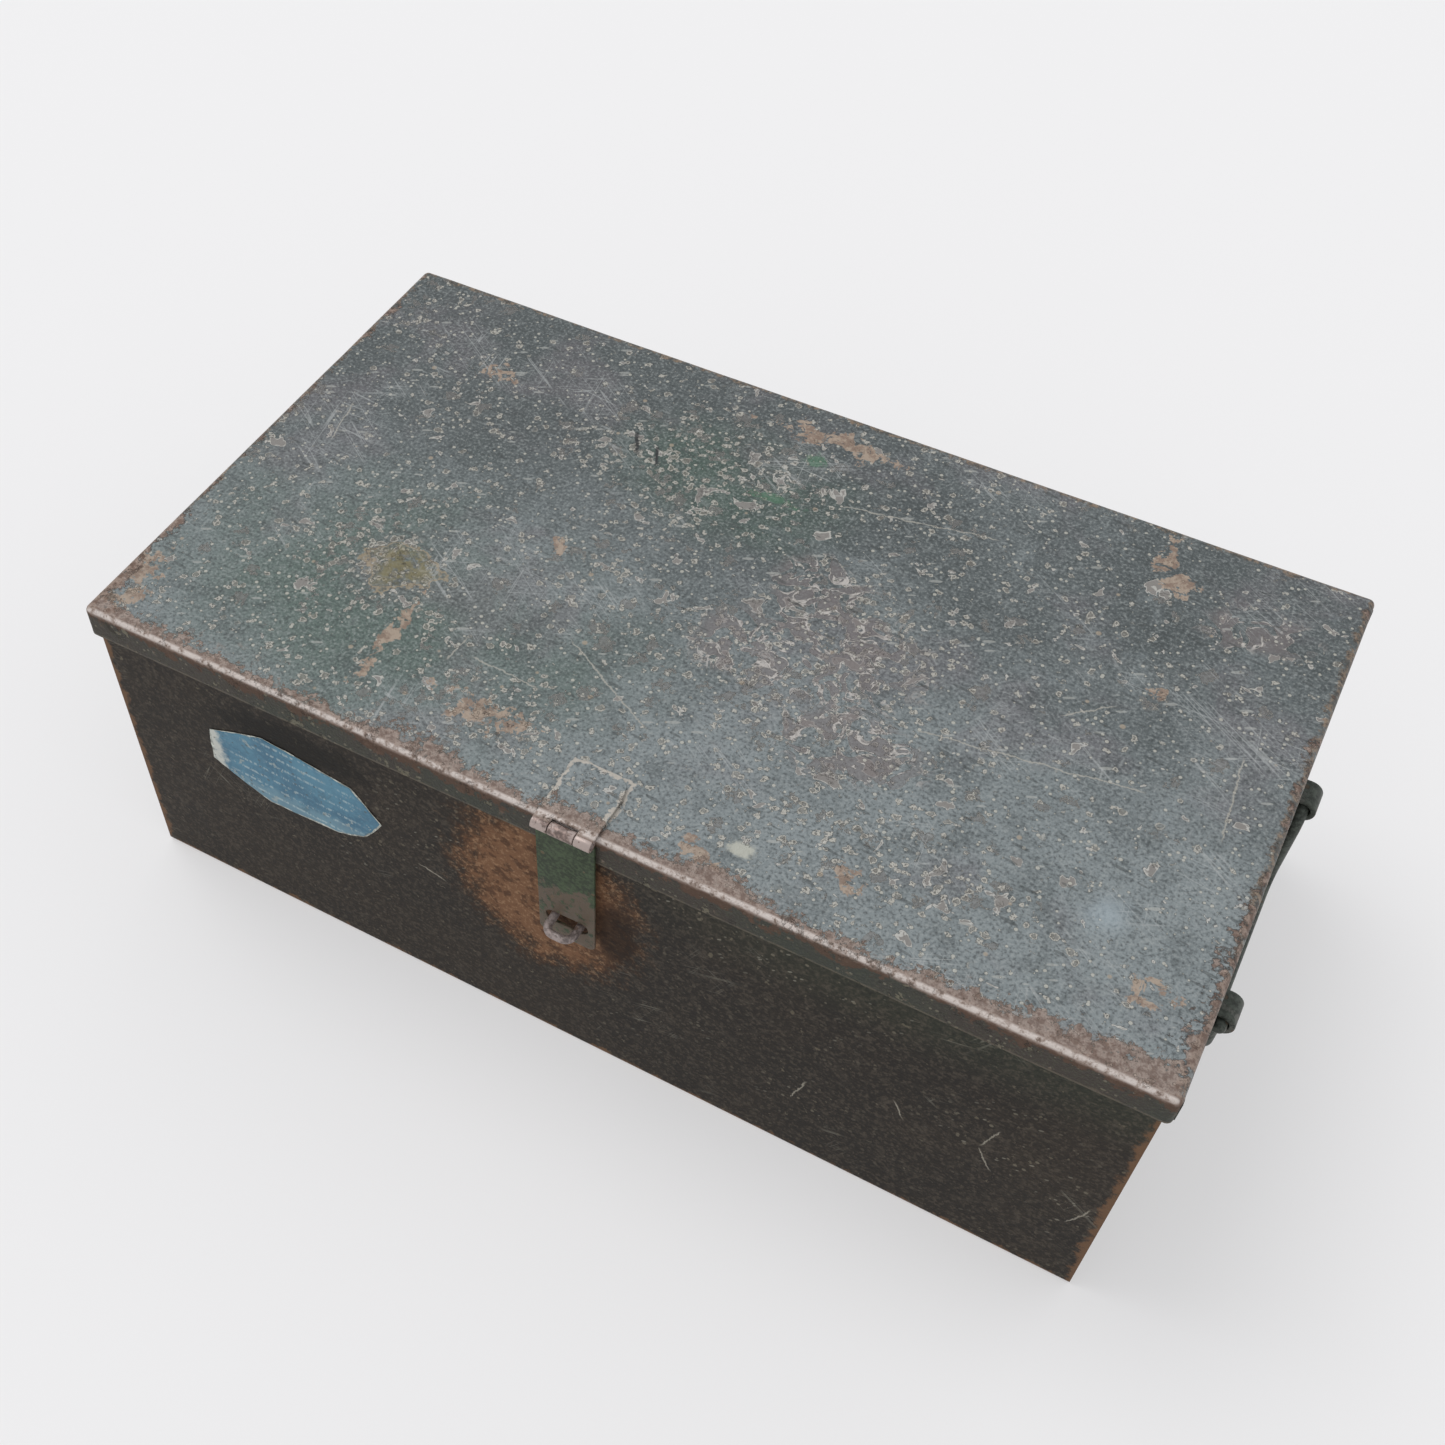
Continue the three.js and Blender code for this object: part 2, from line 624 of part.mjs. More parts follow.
const leafTop = LID.top + GAP + HASP.leaf + GAP;
const haspGrip = HASP.leaf + SHEET + 3 * GAP;
const haspRivets = [['back', 1, 36], ['left', -10, 15], ['right', 10, 15]];
for (const [name, dx, dy] of haspRivets) {
  const at = [HASP.x + dx, haspY + dy, leafTop];
  addRivet(`hasp_rivet_${name}`, at, [0, 0, 1], haspGrip, ['hasp_leaf', 'lid_shell'], 'lidPaint');
}

const group = new THREE.Group();
group.name = 'toolbox_with_tray';
group.position.y = centreShift;

function addMesh(name, geometry, finish) {
  const mesh = new THREE.Mesh(geometry, new THREE.MeshStandardMaterial(FINISHES[finish]));
  mesh.name = name;
  group.add(mesh);
}

for (const rivet of rivets) {
  const geometry = turnTowards(rivetGeometry(rivet.grip), rivet.outward);
  geometry.translate(rivet.at.x, rivet.at.y, rivet.at.z);
  addMesh(rivet.name, toGeometry(toSolid(geometry)), rivet.finish);

  const drill = new THREE.CylinderGeometry(RIVET.hole, RIVET.hole, 20, RIVET.sides);
  turnTowards(drill, rivet.outward);
  drill.translate(rivet.at.x, rivet.at.y, rivet.at.z);
  const cutter = toSolid(drill);
  for (const name of rivet.through) {
    const piece = pieces.get(name);
    piece.solid = piece.solid.subtract(cutter);
  }
}

for (const [name, { solid, finish }] of pieces) {
  addMesh(name, toGeometry(solid), finish);
}

export default group;
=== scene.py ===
# %% [markdown]
# # A worn sheet-steel toolbox with a lift-out tray
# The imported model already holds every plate, hinge and handle at its true size. This lesson
# loads that model and keeps it as a fixed frame, because the motion was tested on it, and then
# gives each part the shape and finish that long years in a workshop leave behind.

# %% Load the frame
import json
import math

import bmesh
import bpy
from mathutils import Matrix, Vector, noise
from mathutils.geometry import delaunay_2d_cdt

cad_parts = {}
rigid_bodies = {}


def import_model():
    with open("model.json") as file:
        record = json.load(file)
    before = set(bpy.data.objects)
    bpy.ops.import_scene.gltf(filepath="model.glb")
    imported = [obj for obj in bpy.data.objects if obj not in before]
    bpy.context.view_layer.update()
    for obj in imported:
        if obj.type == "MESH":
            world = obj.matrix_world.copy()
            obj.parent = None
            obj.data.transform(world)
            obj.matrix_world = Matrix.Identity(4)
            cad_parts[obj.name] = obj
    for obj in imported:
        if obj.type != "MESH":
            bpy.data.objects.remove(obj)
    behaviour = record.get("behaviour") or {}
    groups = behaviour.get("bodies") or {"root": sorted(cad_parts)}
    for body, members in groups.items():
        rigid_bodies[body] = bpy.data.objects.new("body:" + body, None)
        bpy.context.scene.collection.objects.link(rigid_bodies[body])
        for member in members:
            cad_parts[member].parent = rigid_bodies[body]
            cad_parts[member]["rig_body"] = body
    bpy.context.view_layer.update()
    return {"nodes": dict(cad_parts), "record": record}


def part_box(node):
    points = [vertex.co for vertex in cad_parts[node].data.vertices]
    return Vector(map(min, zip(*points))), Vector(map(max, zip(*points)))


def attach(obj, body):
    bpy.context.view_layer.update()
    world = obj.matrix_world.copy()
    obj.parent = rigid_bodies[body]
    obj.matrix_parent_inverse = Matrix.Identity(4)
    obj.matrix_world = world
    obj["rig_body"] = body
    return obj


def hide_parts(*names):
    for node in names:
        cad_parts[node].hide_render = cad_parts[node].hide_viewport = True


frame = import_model()


def ends(node):
    """A node's lowest and highest corners."""
    low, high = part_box(node)
    return Vector(low), Vector(high)


lid_low, lid_high = ends("lid_shell")
body_low, body_high = ends("body_wrap")
print("lid from", tuple(lid_low), "to", tuple(lid_high))

# %% [markdown]
# ## Where the viewer stands
# The box is seen from above its front right corner, about a metre away, through a plain lens
# of normal length. Everything is placed from the lid's width and the middle of the lid, so that
# the view would follow the box if its size changed.

# %% Camera
lid_width = lid_high.x - lid_low.x
middle = Vector(((lid_low.x + lid_high.x) / 2, (lid_low.y + lid_high.y) / 2, 0))
# From the floor under the middle of the lid, in lid widths.
VIEW_FROM = Vector((0.4102, -0.9699, 1.4472))
VIEW_RIGHT = Vector((0.87011, 0.49278, -0.00911))
VIEW_AHEAD = Vector((-0.30859, 0.53029, -0.78966))
# Lens and film width in millimetres; the shifts are shares of the film width.
LENS, FILM = 42.27, 36
SHIFT_X, SHIFT_Y = 0.0983, 0.0393


def link(obj):
    bpy.context.scene.collection.objects.link(obj)
    return obj


ahead = VIEW_AHEAD.normalized()
right = (VIEW_RIGHT - ahead * VIEW_RIGHT.dot(ahead)).normalized()
turn = Matrix((right, right.cross(ahead), -ahead)).transposed().to_4x4()
camera_data = bpy.data.cameras.new("camera")
camera_data.sensor_width = FILM
camera_data.lens = LENS
camera_data.shift_x = SHIFT_X
camera_data.shift_y = SHIFT_Y
camera = link(bpy.data.objects.new("camera", camera_data))
camera.matrix_world = Matrix.Translation(middle + VIEW_FROM * lid_width) @ turn
bpy.context.scene.camera = camera
print("camera at", tuple(round(v, 3) for v in camera.matrix_world.translation))

# %% [markdown]
# ## A pale floor and soft light
# The floor is one pale sheet, big enough to fill the view from every side. Like a sheet on a
# light table it glows a little, which keeps the shadows on it thin. A broad lamp stands overhead,
# to the left and a little behind: it gives the lid an even sheen and leaves the front in shade.

# %% Floor
FLOOR_SIZE = 60.0
FLOOR_PALE = (0.42, 0.415, 0.415)
FLOOR_GLOW, GLOW_TINT = 0.42, (1.0, 0.99, 0.99)
bpy.context.scene.view_settings.view_transform = "Standard"

paper = bpy.data.materials.new("floor_paper")
paper.use_nodes = True
sheet = paper.node_tree.nodes["Principled BSDF"].inputs
sheet["Base Color"].default_value = (*FLOOR_PALE, 1)
sheet["Roughness"].default_value = 0.9
sheet["Emission Color"].default_value = (*GLOW_TINT, 1)
sheet["Emission Strength"].default_value = FLOOR_GLOW
half = FLOOR_SIZE / 2
corners = [(-half, -half, 0), (half, -half, 0), (half, half, 0), (-half, half, 0)]
floor_mesh = bpy.data.meshes.new("floor")
floor_mesh.from_pydata(corners, [], [(0, 1, 2, 3)])
floor_mesh.materials.append(paper)
floor = link(bpy.data.objects.new("floor", floor_mesh))
print("floor:", FLOOR_SIZE, "m across")

# %% Lights
LAMP_FROM = Vector((-0.80, 0.10, 1.5))
LAMP_STRENGTH = 0.95
LAMP_BREADTH = math.radians(34)
ROOM_TINT, ROOM_STRENGTH = (0.95, 0.97, 1.0), 0.82

lamp_data = bpy.data.lights.new("broad_overhead", "SUN")
lamp_data.energy = LAMP_STRENGTH
lamp_data.angle = LAMP_BREADTH
lamp = link(bpy.data.objects.new("broad_overhead", lamp_data))
aimed = (-LAMP_FROM).to_track_quat("-Z", "Y").to_matrix().to_4x4()
lamp.matrix_world = Matrix.Translation(LAMP_FROM) @ aimed
room = bpy.data.worlds.new("studio")
room.use_nodes = True
room.node_tree.nodes["Background"].inputs["Color"].default_value = (*ROOM_TINT, 1)
room.node_tree.nodes["Background"].inputs["Strength"].default_value = ROOM_STRENGTH
bpy.context.scene.world = room

# %% [markdown]
# ## A short way to write a paint
# Old paint is many thin stories on top of each other: a colour that drifts, chips with a pale
# rim, scratches, bare metal along the folds. Each story is a mask between 0 and 1, made from
# noise and from the distance to an edge, and the colours are laid on in order. The small class
# below keeps one story to one line. Lengths are metres, so a noise of scale 200 has grains of
# about five millimetres.

# %% Colours


def rgba(colour):
    if isinstance(colour, tuple) and len(colour) == 3:
        return (*colour, 1)
    return colour


def shade(red, green, blue):
    """A colour given as it looks on a screen, 0 to 255, turned to light values."""
    def lift(v):
        v = v / 255
        return v / 12.92 if v <= 0.04045 else ((v + 0.055) / 1.055) ** 2.4
    return (lift(red), lift(green), lift(blue))


print("mid grey is", round(shade(128, 128, 128)[0], 3), "as light")

# %% Nodes and sums


class Wiring:
    """A material with its nodes, and sums written as plain calls."""

    def __init__(self, name):
        self.material = bpy.data.materials.new(name)
        self.material.use_nodes = True
        self.tree = self.material.node_tree
        self.surface = self.tree.nodes["Principled BSDF"]
        self.here = self.node("ShaderNodeTexCoord").outputs["Object"]
        split = self.node("ShaderNodeSeparateXYZ", Vector=self.here)
        self.x, self.y, self.z = split.outputs
        self.colour = None

    def wire(self, value, socket):
        if isinstance(value, bpy.types.NodeSocket):
            self.tree.links.new(value, socket)
        elif value is not None:
            socket.default_value = value

    def node(self, kind, settings=None, **sockets):
        made = self.tree.nodes.new(kind)
        for key, value in (settings or {}).items():
            setattr(made, key, value)
        for key, value in sockets.items():
            self.wire(value, made.inputs[key.replace("_", " ")])
        return made

    def calc(self, operation, a, b=None):
        made = self.node("ShaderNodeMath", {"operation": operation})
        self.wire(a, made.inputs[0])
        self.wire(b, made.inputs[1])
        return made.outputs[0]

    def add(self, a, b):
        return self.calc("ADD", a, b)

    def less(self, a, b):
        return self.calc("SUBTRACT", a, b)

    def times(self, a, b):
        return self.calc("MULTIPLY", a, b)

    def most(self, a, b):
        return self.calc("MAXIMUM", a, b)

    def least(self, a, b):
        return self.calc("MINIMUM", a, b)

    def size(self, a):
        return self.calc("ABSOLUTE", a)

    def sway(self, cloud, amount):
        """A noise as a push either way, of half the amount at most."""
        return self.times(self.less(cloud, 0.5), amount)

    def weighed(self, *parts):
        """The sum of several values, each times its weight."""
        total = None
        for value, weight in parts:
            term = self.times(value, weight)
            total = term if total is None else self.add(total, term)
        return total

    def fade(self, value, start, stop):
        """0 at start, 1 at stop, smooth between; start may be the larger."""
        made = self.node("ShaderNodeMapRange", {"interpolation_type": "SMOOTHSTEP"})
        self.wire(value, made.inputs["Value"])
        self.wire(start, made.inputs["From Min"])
        self.wire(stop, made.inputs["From Max"])
        return made.outputs["Result"]


# %% Clouds, cells and places


class Patterns(Wiring):
    """Noises and distances on the surface."""

    def mist(self, scale, detail=4.0, rough=0.55, warp=0.0, at=None):
        made = self.node(
            "ShaderNodeTexNoise", Vector=at or self.here, Scale=scale, Detail=detail,
            Roughness=rough, Distortion=warp,
        )
        return made.outputs[0]

    def cells(self, scale, at=None):
        """For each cell its own three random values, and the distance to its middle."""
        made = self.node("ShaderNodeTexVoronoi", Vector=at or self.here, Scale=scale)
        chance = self.node("ShaderNodeSeparateColor", Color=made.outputs["Color"])
        return chance.outputs, made.outputs["Distance"]

    def stretched(self, angle, along, across, plane="xy"):
        """Coordinates turned by an angle and squeezed, so that patterns become streaks."""
        rotation = (0, 0, angle) if plane == "xy" else (0, angle, 0)
        scale = (along, across, 1) if plane == "xy" else (along, 60, across)
        turned_about = self.node("ShaderNodeMapping", Vector=self.here, Rotation=rotation)
        return self.node("ShaderNodeMapping", Vector=turned_about.outputs[0], Scale=scale).outputs[0]

    def reach(self, centre, radius, axes, ragged, amount):
        """How far away a patch's middle is, in its radii, made uneven by a noise."""
        total = None
        for axis, value, size in zip(axes, centre, radius, strict=True):
            offset = self.times(self.less(getattr(self, axis), value), 1 / size)
            square = self.times(offset, offset)
            total = square if total is None else self.add(total, square)
        return self.add(self.calc("SQRT", total), self.sway(ragged, amount))

    def nearest(self, patches, axes, ragged, amount):
        """The smallest reach of several patches: under 1 is inside one of them."""
        closest = None
        for centre, radius in patches:
            reach = self.reach(centre, radius, axes, ragged, amount)
            closest = reach if closest is None else self.least(closest, reach)
        return closest


# %% Colours laid on in order


class Paint(Patterns):
    """A finish: its colour grows with each layer, then comes its relief and gloss."""

    def blend(self, mask, under, over):
        made = self.node("ShaderNodeMix", {"data_type": "RGBA"})
        self.wire(mask, made.inputs[0])
        self.wire(rgba(under), made.inputs[6])
        self.wire(rgba(over), made.inputs[7])
        return made.outputs[2]

    def over(self, under, colour, mask, amount):
        return self.blend(self.times(mask, amount), under, colour)

    def lay(self, colour, mask, amount):
        """Lay a colour over what is there, where the mask is, as strongly as the amount."""
        self.colour = self.over(self.colour, colour, mask, amount)

    def dents(self, height, distance):
        made = self.node("ShaderNodeBump", Height=height)
        made.inputs["Distance"].default_value = distance
        made.inputs["Strength"].default_value = 1.0
        self.wire(made.outputs[0], self.surface.inputs["Normal"])

    def finish(self, roughness, metallic=0.0, gloss=0.5):
        self.wire(self.colour, self.surface.inputs["Base Color"])
        self.wire(roughness, self.surface.inputs["Roughness"])
        self.wire(metallic, self.surface.inputs["Metallic"])
        self.surface.inputs["Specular IOR Level"].default_value = gloss
        return self.material


print("paint kit ready")

# %% [markdown]
# ## Marks that every old paint has
# Five small patterns serve the whole box. Hairlines are the zero line of a stretched noise.
# Pinholes are circles about the middles of some cells of a cell pattern, and blisters are the
# same with an uneven edge and a rim. Larger flakes are the high ground of a noise.

# %% Scratches


def scratches(p, angle, thin, keep, plane="xy"):
    """Hairlines along one direction, broken by a second noise."""
    field = p.mist(1.0, 1.0, 0.4, at=p.stretched(angle, 3.0, 160.0, plane))
    line = p.fade(p.size(p.less(field, 0.5)), thin, 0.0)
    return p.times(line, p.fade(p.mist(14, 3, 0.6), keep, keep + 0.06))


def stroke(p, start, stop, width, ragged, axes="xy"):
    """1 on a single scratch between two points, with a slightly shaky line."""
    a, b = Vector(start), Vector(stop)
    along = (b - a).normalized()
    long = (b - a).length
    u = p.less(getattr(p, axes[0]), a.x)
    v = p.less(getattr(p, axes[1]), a.y)
    run = p.weighed((u, along.x), (v, along.y))
    off = p.add(p.weighed((u, -along.y), (v, along.x)), p.sway(ragged, 0.006))
    inside = p.times(p.fade(run, 0, 0.004), p.fade(run, long, long - 0.006))
    return p.times(p.fade(p.size(off), width, width * 0.3), inside)


# %% Dots, flakes and blisters


def dots(p, scale, size, share, at=None):
    """Round pinholes in a share of the cells."""
    chance, away = p.cells(scale, at)
    radius = p.times(p.fade(chance[0], 1 - share, 1.0), size)
    chosen = p.fade(chance[0], 1 - share, 1 - share + 0.02)
    return p.times(p.fade(p.less(away, radius), 0.03, -0.03), chosen)


def flakes(p, scale, edge, rim_width, warp=0.4):
    """Lifted paint: a broken area, and the same area without its rim."""
    blobs = p.mist(scale, 3.5, 0.55, warp)
    whole = p.fade(p.less(blobs, edge), 0.0, 0.008)
    core = p.fade(p.less(blobs, edge), rim_width, rim_width + 0.012)
    return whole, core


def blisters(p, scale, share, ragged, wobble):
    """Round-ish lifted spots: their inside and the thin broken line round each."""
    chance, away = p.cells(scale)
    radius = p.add(0.06, p.times(chance[0], 0.32))
    beyond = p.less(p.add(away, p.sway(ragged, wobble)), radius)
    bar_height = p.less(1.0, share)
    chosen = p.fade(chance[1], bar_height, p.add(bar_height, 0.02))
    line = p.fade(p.size(beyond), scale * 0.00085, scale * 0.00030)
    return p.times(p.fade(beyond, 0.03, -0.03), chosen), p.times(line, chosen)


print("patterns ready")

# %% [markdown]
# ## The lid's paint
# The lid was sprayed a dark green and has weathered to blue-grey. Its story, from the bottom
# up: a drifting ground colour under a painted sheen that is paler toward the front right,
# flakes with pale rims where the top coat lifted, pinholes, hairline scratches, a few patches
# of tan rust, a painted highlight on one dent, and bare pinkish steel along the front fold,
# which every passing hand has rubbed, with a painted highlight on its crest. The skirt below
# stays almost black.

# %% Lid paint: ground colours
GROUND_SHADED_BACK = shade(76, 82, 82)
GROUND_SHEEN_FRONT = shade(124, 131, 132)
GREEN_GROUND = shade(64, 86, 73)
MAUVE_CLOUD = shade(104, 97, 101)
DUSK_CLOUD = shade(62, 68, 68)
PALE_SHEEN_CLOUD = shade(142, 150, 152)
GRAIN_PALE, GRAIN_DARK = shade(140, 144, 142), shade(62, 67, 67)
FINE_PALE, FINE_DARK = shade(156, 160, 158), shade(50, 54, 54)
# Patches are given by their middle and radii on the lid, in metres.
GREEN_PATCHES = [((-0.17, -0.08), (0.12, 0.08)), ((-0.05, 0.09), (0.06, 0.04))]


def lid_ground(p):
    """Dark at the back and pale at the front right, a painted sheen, with clouds and two sizes of grain.
    """
    # The fall from a pale front right to a dark back is a painted sheen of the overhead light.
    light = p.weighed((p.fade(p.y, 0.15, -0.13), 0.85), (p.fade(p.x, -0.3, 0.3), 0.25))
    light = p.add(light, p.sway(p.slow, 1.3))
    p.colour = p.blend(p.fade(light, 0.0, 1.0), GROUND_SHADED_BACK, GROUND_SHEEN_FRONT)
    for centre, radius in GREEN_PATCHES:
        green = p.reach(centre, radius, "xy", p.slow, 2.0)
        p.lay(GREEN_GROUND, p.fade(green, 1.5, 0.3), 0.70)
    p.lay(MAUVE_CLOUD, p.fade(p.mist(13, 4, 0.6, 0.5), 0.50, 0.66), 0.45)
    p.lay(DUSK_CLOUD, p.fade(p.mist(34, 5, 0.65, 0.5), 0.48, 0.64), 0.34)
    # Pale bluish clouds that fade out toward the left: a cloudy tone, and partly a painted sky
    # reflection.
    pale = p.fade(p.mist(21, 5, 0.65, 0.8), 0.54, 0.68)
    p.lay(PALE_SHEEN_CLOUD, p.times(pale, p.fade(p.x, -0.20, 0.10)), 0.24)
    grain = p.mist(190, 4, 0.65)
    p.lay(GRAIN_PALE, p.fade(grain, 0.52, 0.68), 0.25)
    p.lay(GRAIN_DARK, p.fade(grain, 0.48, 0.34), 0.35)
    p.lay(FINE_PALE, p.fade(p.fine, 0.50, 0.68), 0.42)
    p.lay(FINE_DARK, p.fade(p.fine, 0.50, 0.32), 0.58)


# %% [markdown]
# ### Lifted paint
# Rust that creeps under old paint lifts it in round blisters. They burst and leave a pale rim
# about a dull middle. They could be drawn one by one, but the cells of a pattern, each with its
# own size and an uneven edge, give thousands of them, crowded where the fields below say.

# %% Lid paint: where the top coat lifted
FLAKE_INSIDE = shade(112, 107, 103)
FLAKE_RIM = shade(194, 190, 182)
SMALL_INSIDE, SMALL_RIM = shade(132, 124, 112), shade(182, 178, 168)
FLAKE_FIELDS = [
    ((0.066, 0.004), (0.060, 0.058)), ((0.086, -0.058), (0.055, 0.036)),
    ((0.008, -0.022), (0.030, 0.028)), ((-0.051, 0.047), (0.030, 0.020)),
    ((-0.080, -0.125), (0.050, 0.020)), ((0.140, -0.110), (0.080, 0.030)),
    ((-0.060, 0.090), (0.080, 0.040)), ((-0.190, -0.060), (0.050, 0.040)),
]


def lid_flakes(p):
    """Blisters of two sizes and a few broken areas; returns what lies low and what stands up."""
    crowd = p.fade(p.nearest(FLAKE_FIELDS, "xy", p.mist(22, 4, 0.6), 1.0), 1.35, 0.30)
    drift = p.fade(p.mist(10, 3, 0.6), 0.40, 0.64)
    share = p.add(p.add(0.10, p.times(drift, 0.16)), p.times(crowd, 0.34))
    share = p.times(share, p.fade(p.x, 0.42, 0.06))
    edge = p.mist(210, 5, 0.66)
    inside, rim = blisters(p, 92, share, edge, 2.6)
    p.lay(FLAKE_INSIDE, inside, 0.50)
    p.lay(FLAKE_RIM, rim, 0.90)
    small_inside, small_rim = blisters(p, 215, p.times(share, 1.3), edge, 2.2)
    p.lay(SMALL_INSIDE, small_inside, 0.45)
    p.lay(SMALL_RIM, small_rim, 0.80)
    broken, core = flakes(p, 70, p.less(0.655, p.times(crowd, 0.060)), 0.018)
    p.lay(FLAKE_RIM, broken, 0.70)
    p.lay(FLAKE_INSIDE, core, 0.80)
    return p.most(broken, inside), p.most(rim, small_rim)


# %% Lid paint: where the lifting has joined up into winding lines
WORM_HOLLOW, WORM_LINE = shade(112, 103, 102), shade(184, 178, 172)
WORM_FIELDS = [
    ((0.043, 0.040), (0.030, 0.024)), ((0.062, -0.004), (0.048, 0.046)),
    ((0.090, -0.056), (0.040, 0.024)), ((0.012, -0.022), (0.022, 0.020)),
    ((0.250, 0.120), (0.030, 0.020)),
]


def lid_worms(p, low, raised):
    worms = p.fade(p.nearest(WORM_FIELDS, "xy", p.mist(30, 4, 0.6), 1.4), 1.20, 0.65)
    field = p.mist(70, 3.0, 0.5, 1.2)
    hollow = p.times(p.fade(field, 0.49, 0.52), worms)
    line = p.times(p.fade(p.size(p.less(field, 0.5)), 0.026, 0.010), worms)
    p.lay(WORM_HOLLOW, hollow, 0.60)
    p.lay(WORM_LINE, line, 0.90)
    return p.most(low, hollow), p.most(raised, line)


# %% [markdown]
# ### Scratches and single marks
# Hairlines run in a few directions, because tools and hands slide the same way each time, so
# they come from a pattern. The marks that an owner would know the lid by are placed one at a
# time: a stain, bits of the first green, two black strokes, chalk and spots of rust. A painted
# highlight on one shallow dent is placed the same way.

# %% Lid paint: pinholes and scratches
PIN, BIG_PIN = shade(184, 181, 170), shade(164, 148, 128)
DASH, TICK = shade(170, 170, 164), shade(58, 62, 61)
HAIR, LONG_SCRATCH = shade(168, 170, 168), shade(164, 160, 150)
# Families of hairlines: angle, thickness and how much is left out.
LID_HAIRS = [(0.6, 0.012, 0.53), (-0.45, 0.010, 0.55), (1.45, 0.010, 0.56), (0.1, 0.010, 0.55)]
# Single scratches: start and stop.
LONG_SCRATCHES = [
    ((0.180, 0.014), (0.204, 0.035)), ((0.268, 0.033), (0.274, -0.025)),
    ((-0.110, -0.105), (-0.108, -0.083)), ((-0.260, 0.008), (-0.267, 0.044)),
    ((-0.100, -0.095), (-0.056, -0.098)), ((0.020, 0.100), (0.110, 0.118)),
    ((0.120, -0.030), (0.235, -0.012)), ((-0.060, -0.060), (0.005, -0.096)),
]


def lid_scratches(p):
    pins = dots(p, 310, 0.34, 0.45)
    p.lay(PIN, pins, 0.70)
    p.lay(BIG_PIN, dots(p, 95, 0.15, 0.25), 0.65)
    p.lay(DASH, dots(p, 1.0, 0.30, 0.16, p.stretched(-0.45, 80, 300)), 0.50)
    p.lay(TICK, dots(p, 1.0, 0.34, 0.30, p.stretched(0.12, 70, 330)), 0.50)
    for angle, thin, keep in LID_HAIRS:
        p.lay(HAIR, scratches(p, angle, thin, keep), 0.50)
    for start, stop in LONG_SCRATCHES:
        p.lay(LONG_SCRATCH, stroke(p, start, stop, 0.0006, p.ragged), 0.75)
    return pins


# %% Lid paint: single marks, and a painted highlight on a dent
OLIVE_STAIN, OLIVE_RING = shade(122, 112, 72), shade(158, 140, 112)
OLD_GREEN, BLACK_MARK = shade(70, 112, 84), shade(30, 32, 34)
CHALK, DENT_HIGHLIGHT = shade(182, 181, 168), shade(160, 172, 178)
GREEN_BITS = [((-0.006, 0.128), (0.006, 0.005)), ((-0.012, 0.088), (0.013, 0.003))]
BLACK_STROKES = [((-0.108, 0.102), (-0.098, 0.082)), ((-0.092, 0.096), (-0.083, 0.078))]


def lid_marks(p):
    """An olive stain with its ring, bits of the first green, black strokes, chalk, a painted dent
    highlight.
    """
    uneven = p.mist(48, 5, 0.62)
    olive = p.reach((-0.166, -0.060), (0.018, 0.014), "xy", uneven, 3.4)
    p.lay(OLIVE_STAIN, p.times(p.fade(olive, 1.25, 0.55), p.fade(p.ragged, 0.36, 0.52)), 0.70)
    p.lay(OLIVE_RING, p.fade(p.size(p.less(olive, 1.15)), 0.12, 0.03), 0.60)
    for centre, radius in GREEN_BITS:
        p.lay(OLD_GREEN, p.fade(p.reach(centre, radius, "xy", p.ragged, 5.5), 1.3, 0.8), 0.60)
    for start, stop in BLACK_STROKES:
        p.lay(BLACK_MARK, stroke(p, start, stop, 0.0015, p.ragged), 0.9)
    chalk = p.reach((0.078, -0.138), (0.006, 0.004), "xy", p.ragged, 2.6)
    p.lay(CHALK, p.fade(chalk, 1.3, 0.6), 0.8)
    # A soft pale bluish spot: a painted highlight where the light catches a shallow dent.
    dent_highlight = p.reach((0.241, -0.089), (0.011, 0.014), "xy", uneven, 1.6)
    p.lay(DENT_HIGHLIGHT, p.fade(dent_highlight, 1.3, 0.0), 0.5)


# %% Lid paint: rust spots
TAN_RUST, BROWN_RUST = shade(166, 148, 131), shade(134, 113, 98)
RUST_SPOTS = [
    ((0.000, 0.148), (0.028, 0.007)), ((0.193, 0.148), (0.005, 0.013)),
    ((0.205, 0.132), (0.009, 0.006)), ((0.218, 0.052), (0.004, 0.004)),
    ((-0.072, -0.126), (0.020, 0.008)), ((-0.100, -0.002), (0.006, 0.005)),
    ((-0.145, -0.100), (0.004, 0.024)), ((-0.205, 0.108), (0.010, 0.006)),
    ((-0.288, -0.140), (0.010, 0.022)), ((0.270, -0.120), (0.008, 0.008)),
    ((0.060, -0.150), (0.010, 0.006)), ((0.128, -0.128), (0.006, 0.006)),
]


def lid_rust(p):
    near = p.fade(p.nearest(RUST_SPOTS, "xy", p.mist(80, 6, 0.68), 6.0), 1.15, 1.00)
    rust = p.times(near, p.fade(p.mist(95, 5, 0.66, 0.8), 0.44, 0.47))
    tint = p.blend(p.fade(p.mist(200, 4, 0.7), 0.42, 0.60), TAN_RUST, BROWN_RUST)
    p.lay(tint, rust, 0.88)
    return rust


# %% [markdown]
# ### Skirt and worn folds
# A fold is rubbed bare first, and the border of the bare steel is ragged, because paint breaks
# off in flakes. How far a point is from a fold is the sum of its distances to the two faces, so
# one rule follows a fold along its whole length, and a noise added to it makes the border.

# %% Lid paint: the crack round the hasp leaf, and the skirt
CRACK = shade(186, 177, 165)
SKIRT_DARK, SKIRT_BROWN = shade(42, 46, 37), shade(50, 42, 34)
SKIRT_GRAIN, SKIRT_CHIP = shade(84, 86, 70), shade(92, 82, 64)
SKIRT_FLAKE, SKIRT_PIN, SKIRT_HEM = shade(118, 112, 92), shade(128, 122, 104), shade(104, 92, 72)
SKIRT_DROP = 0.0192
leaf_low, leaf_high = ends("hasp_leaf")


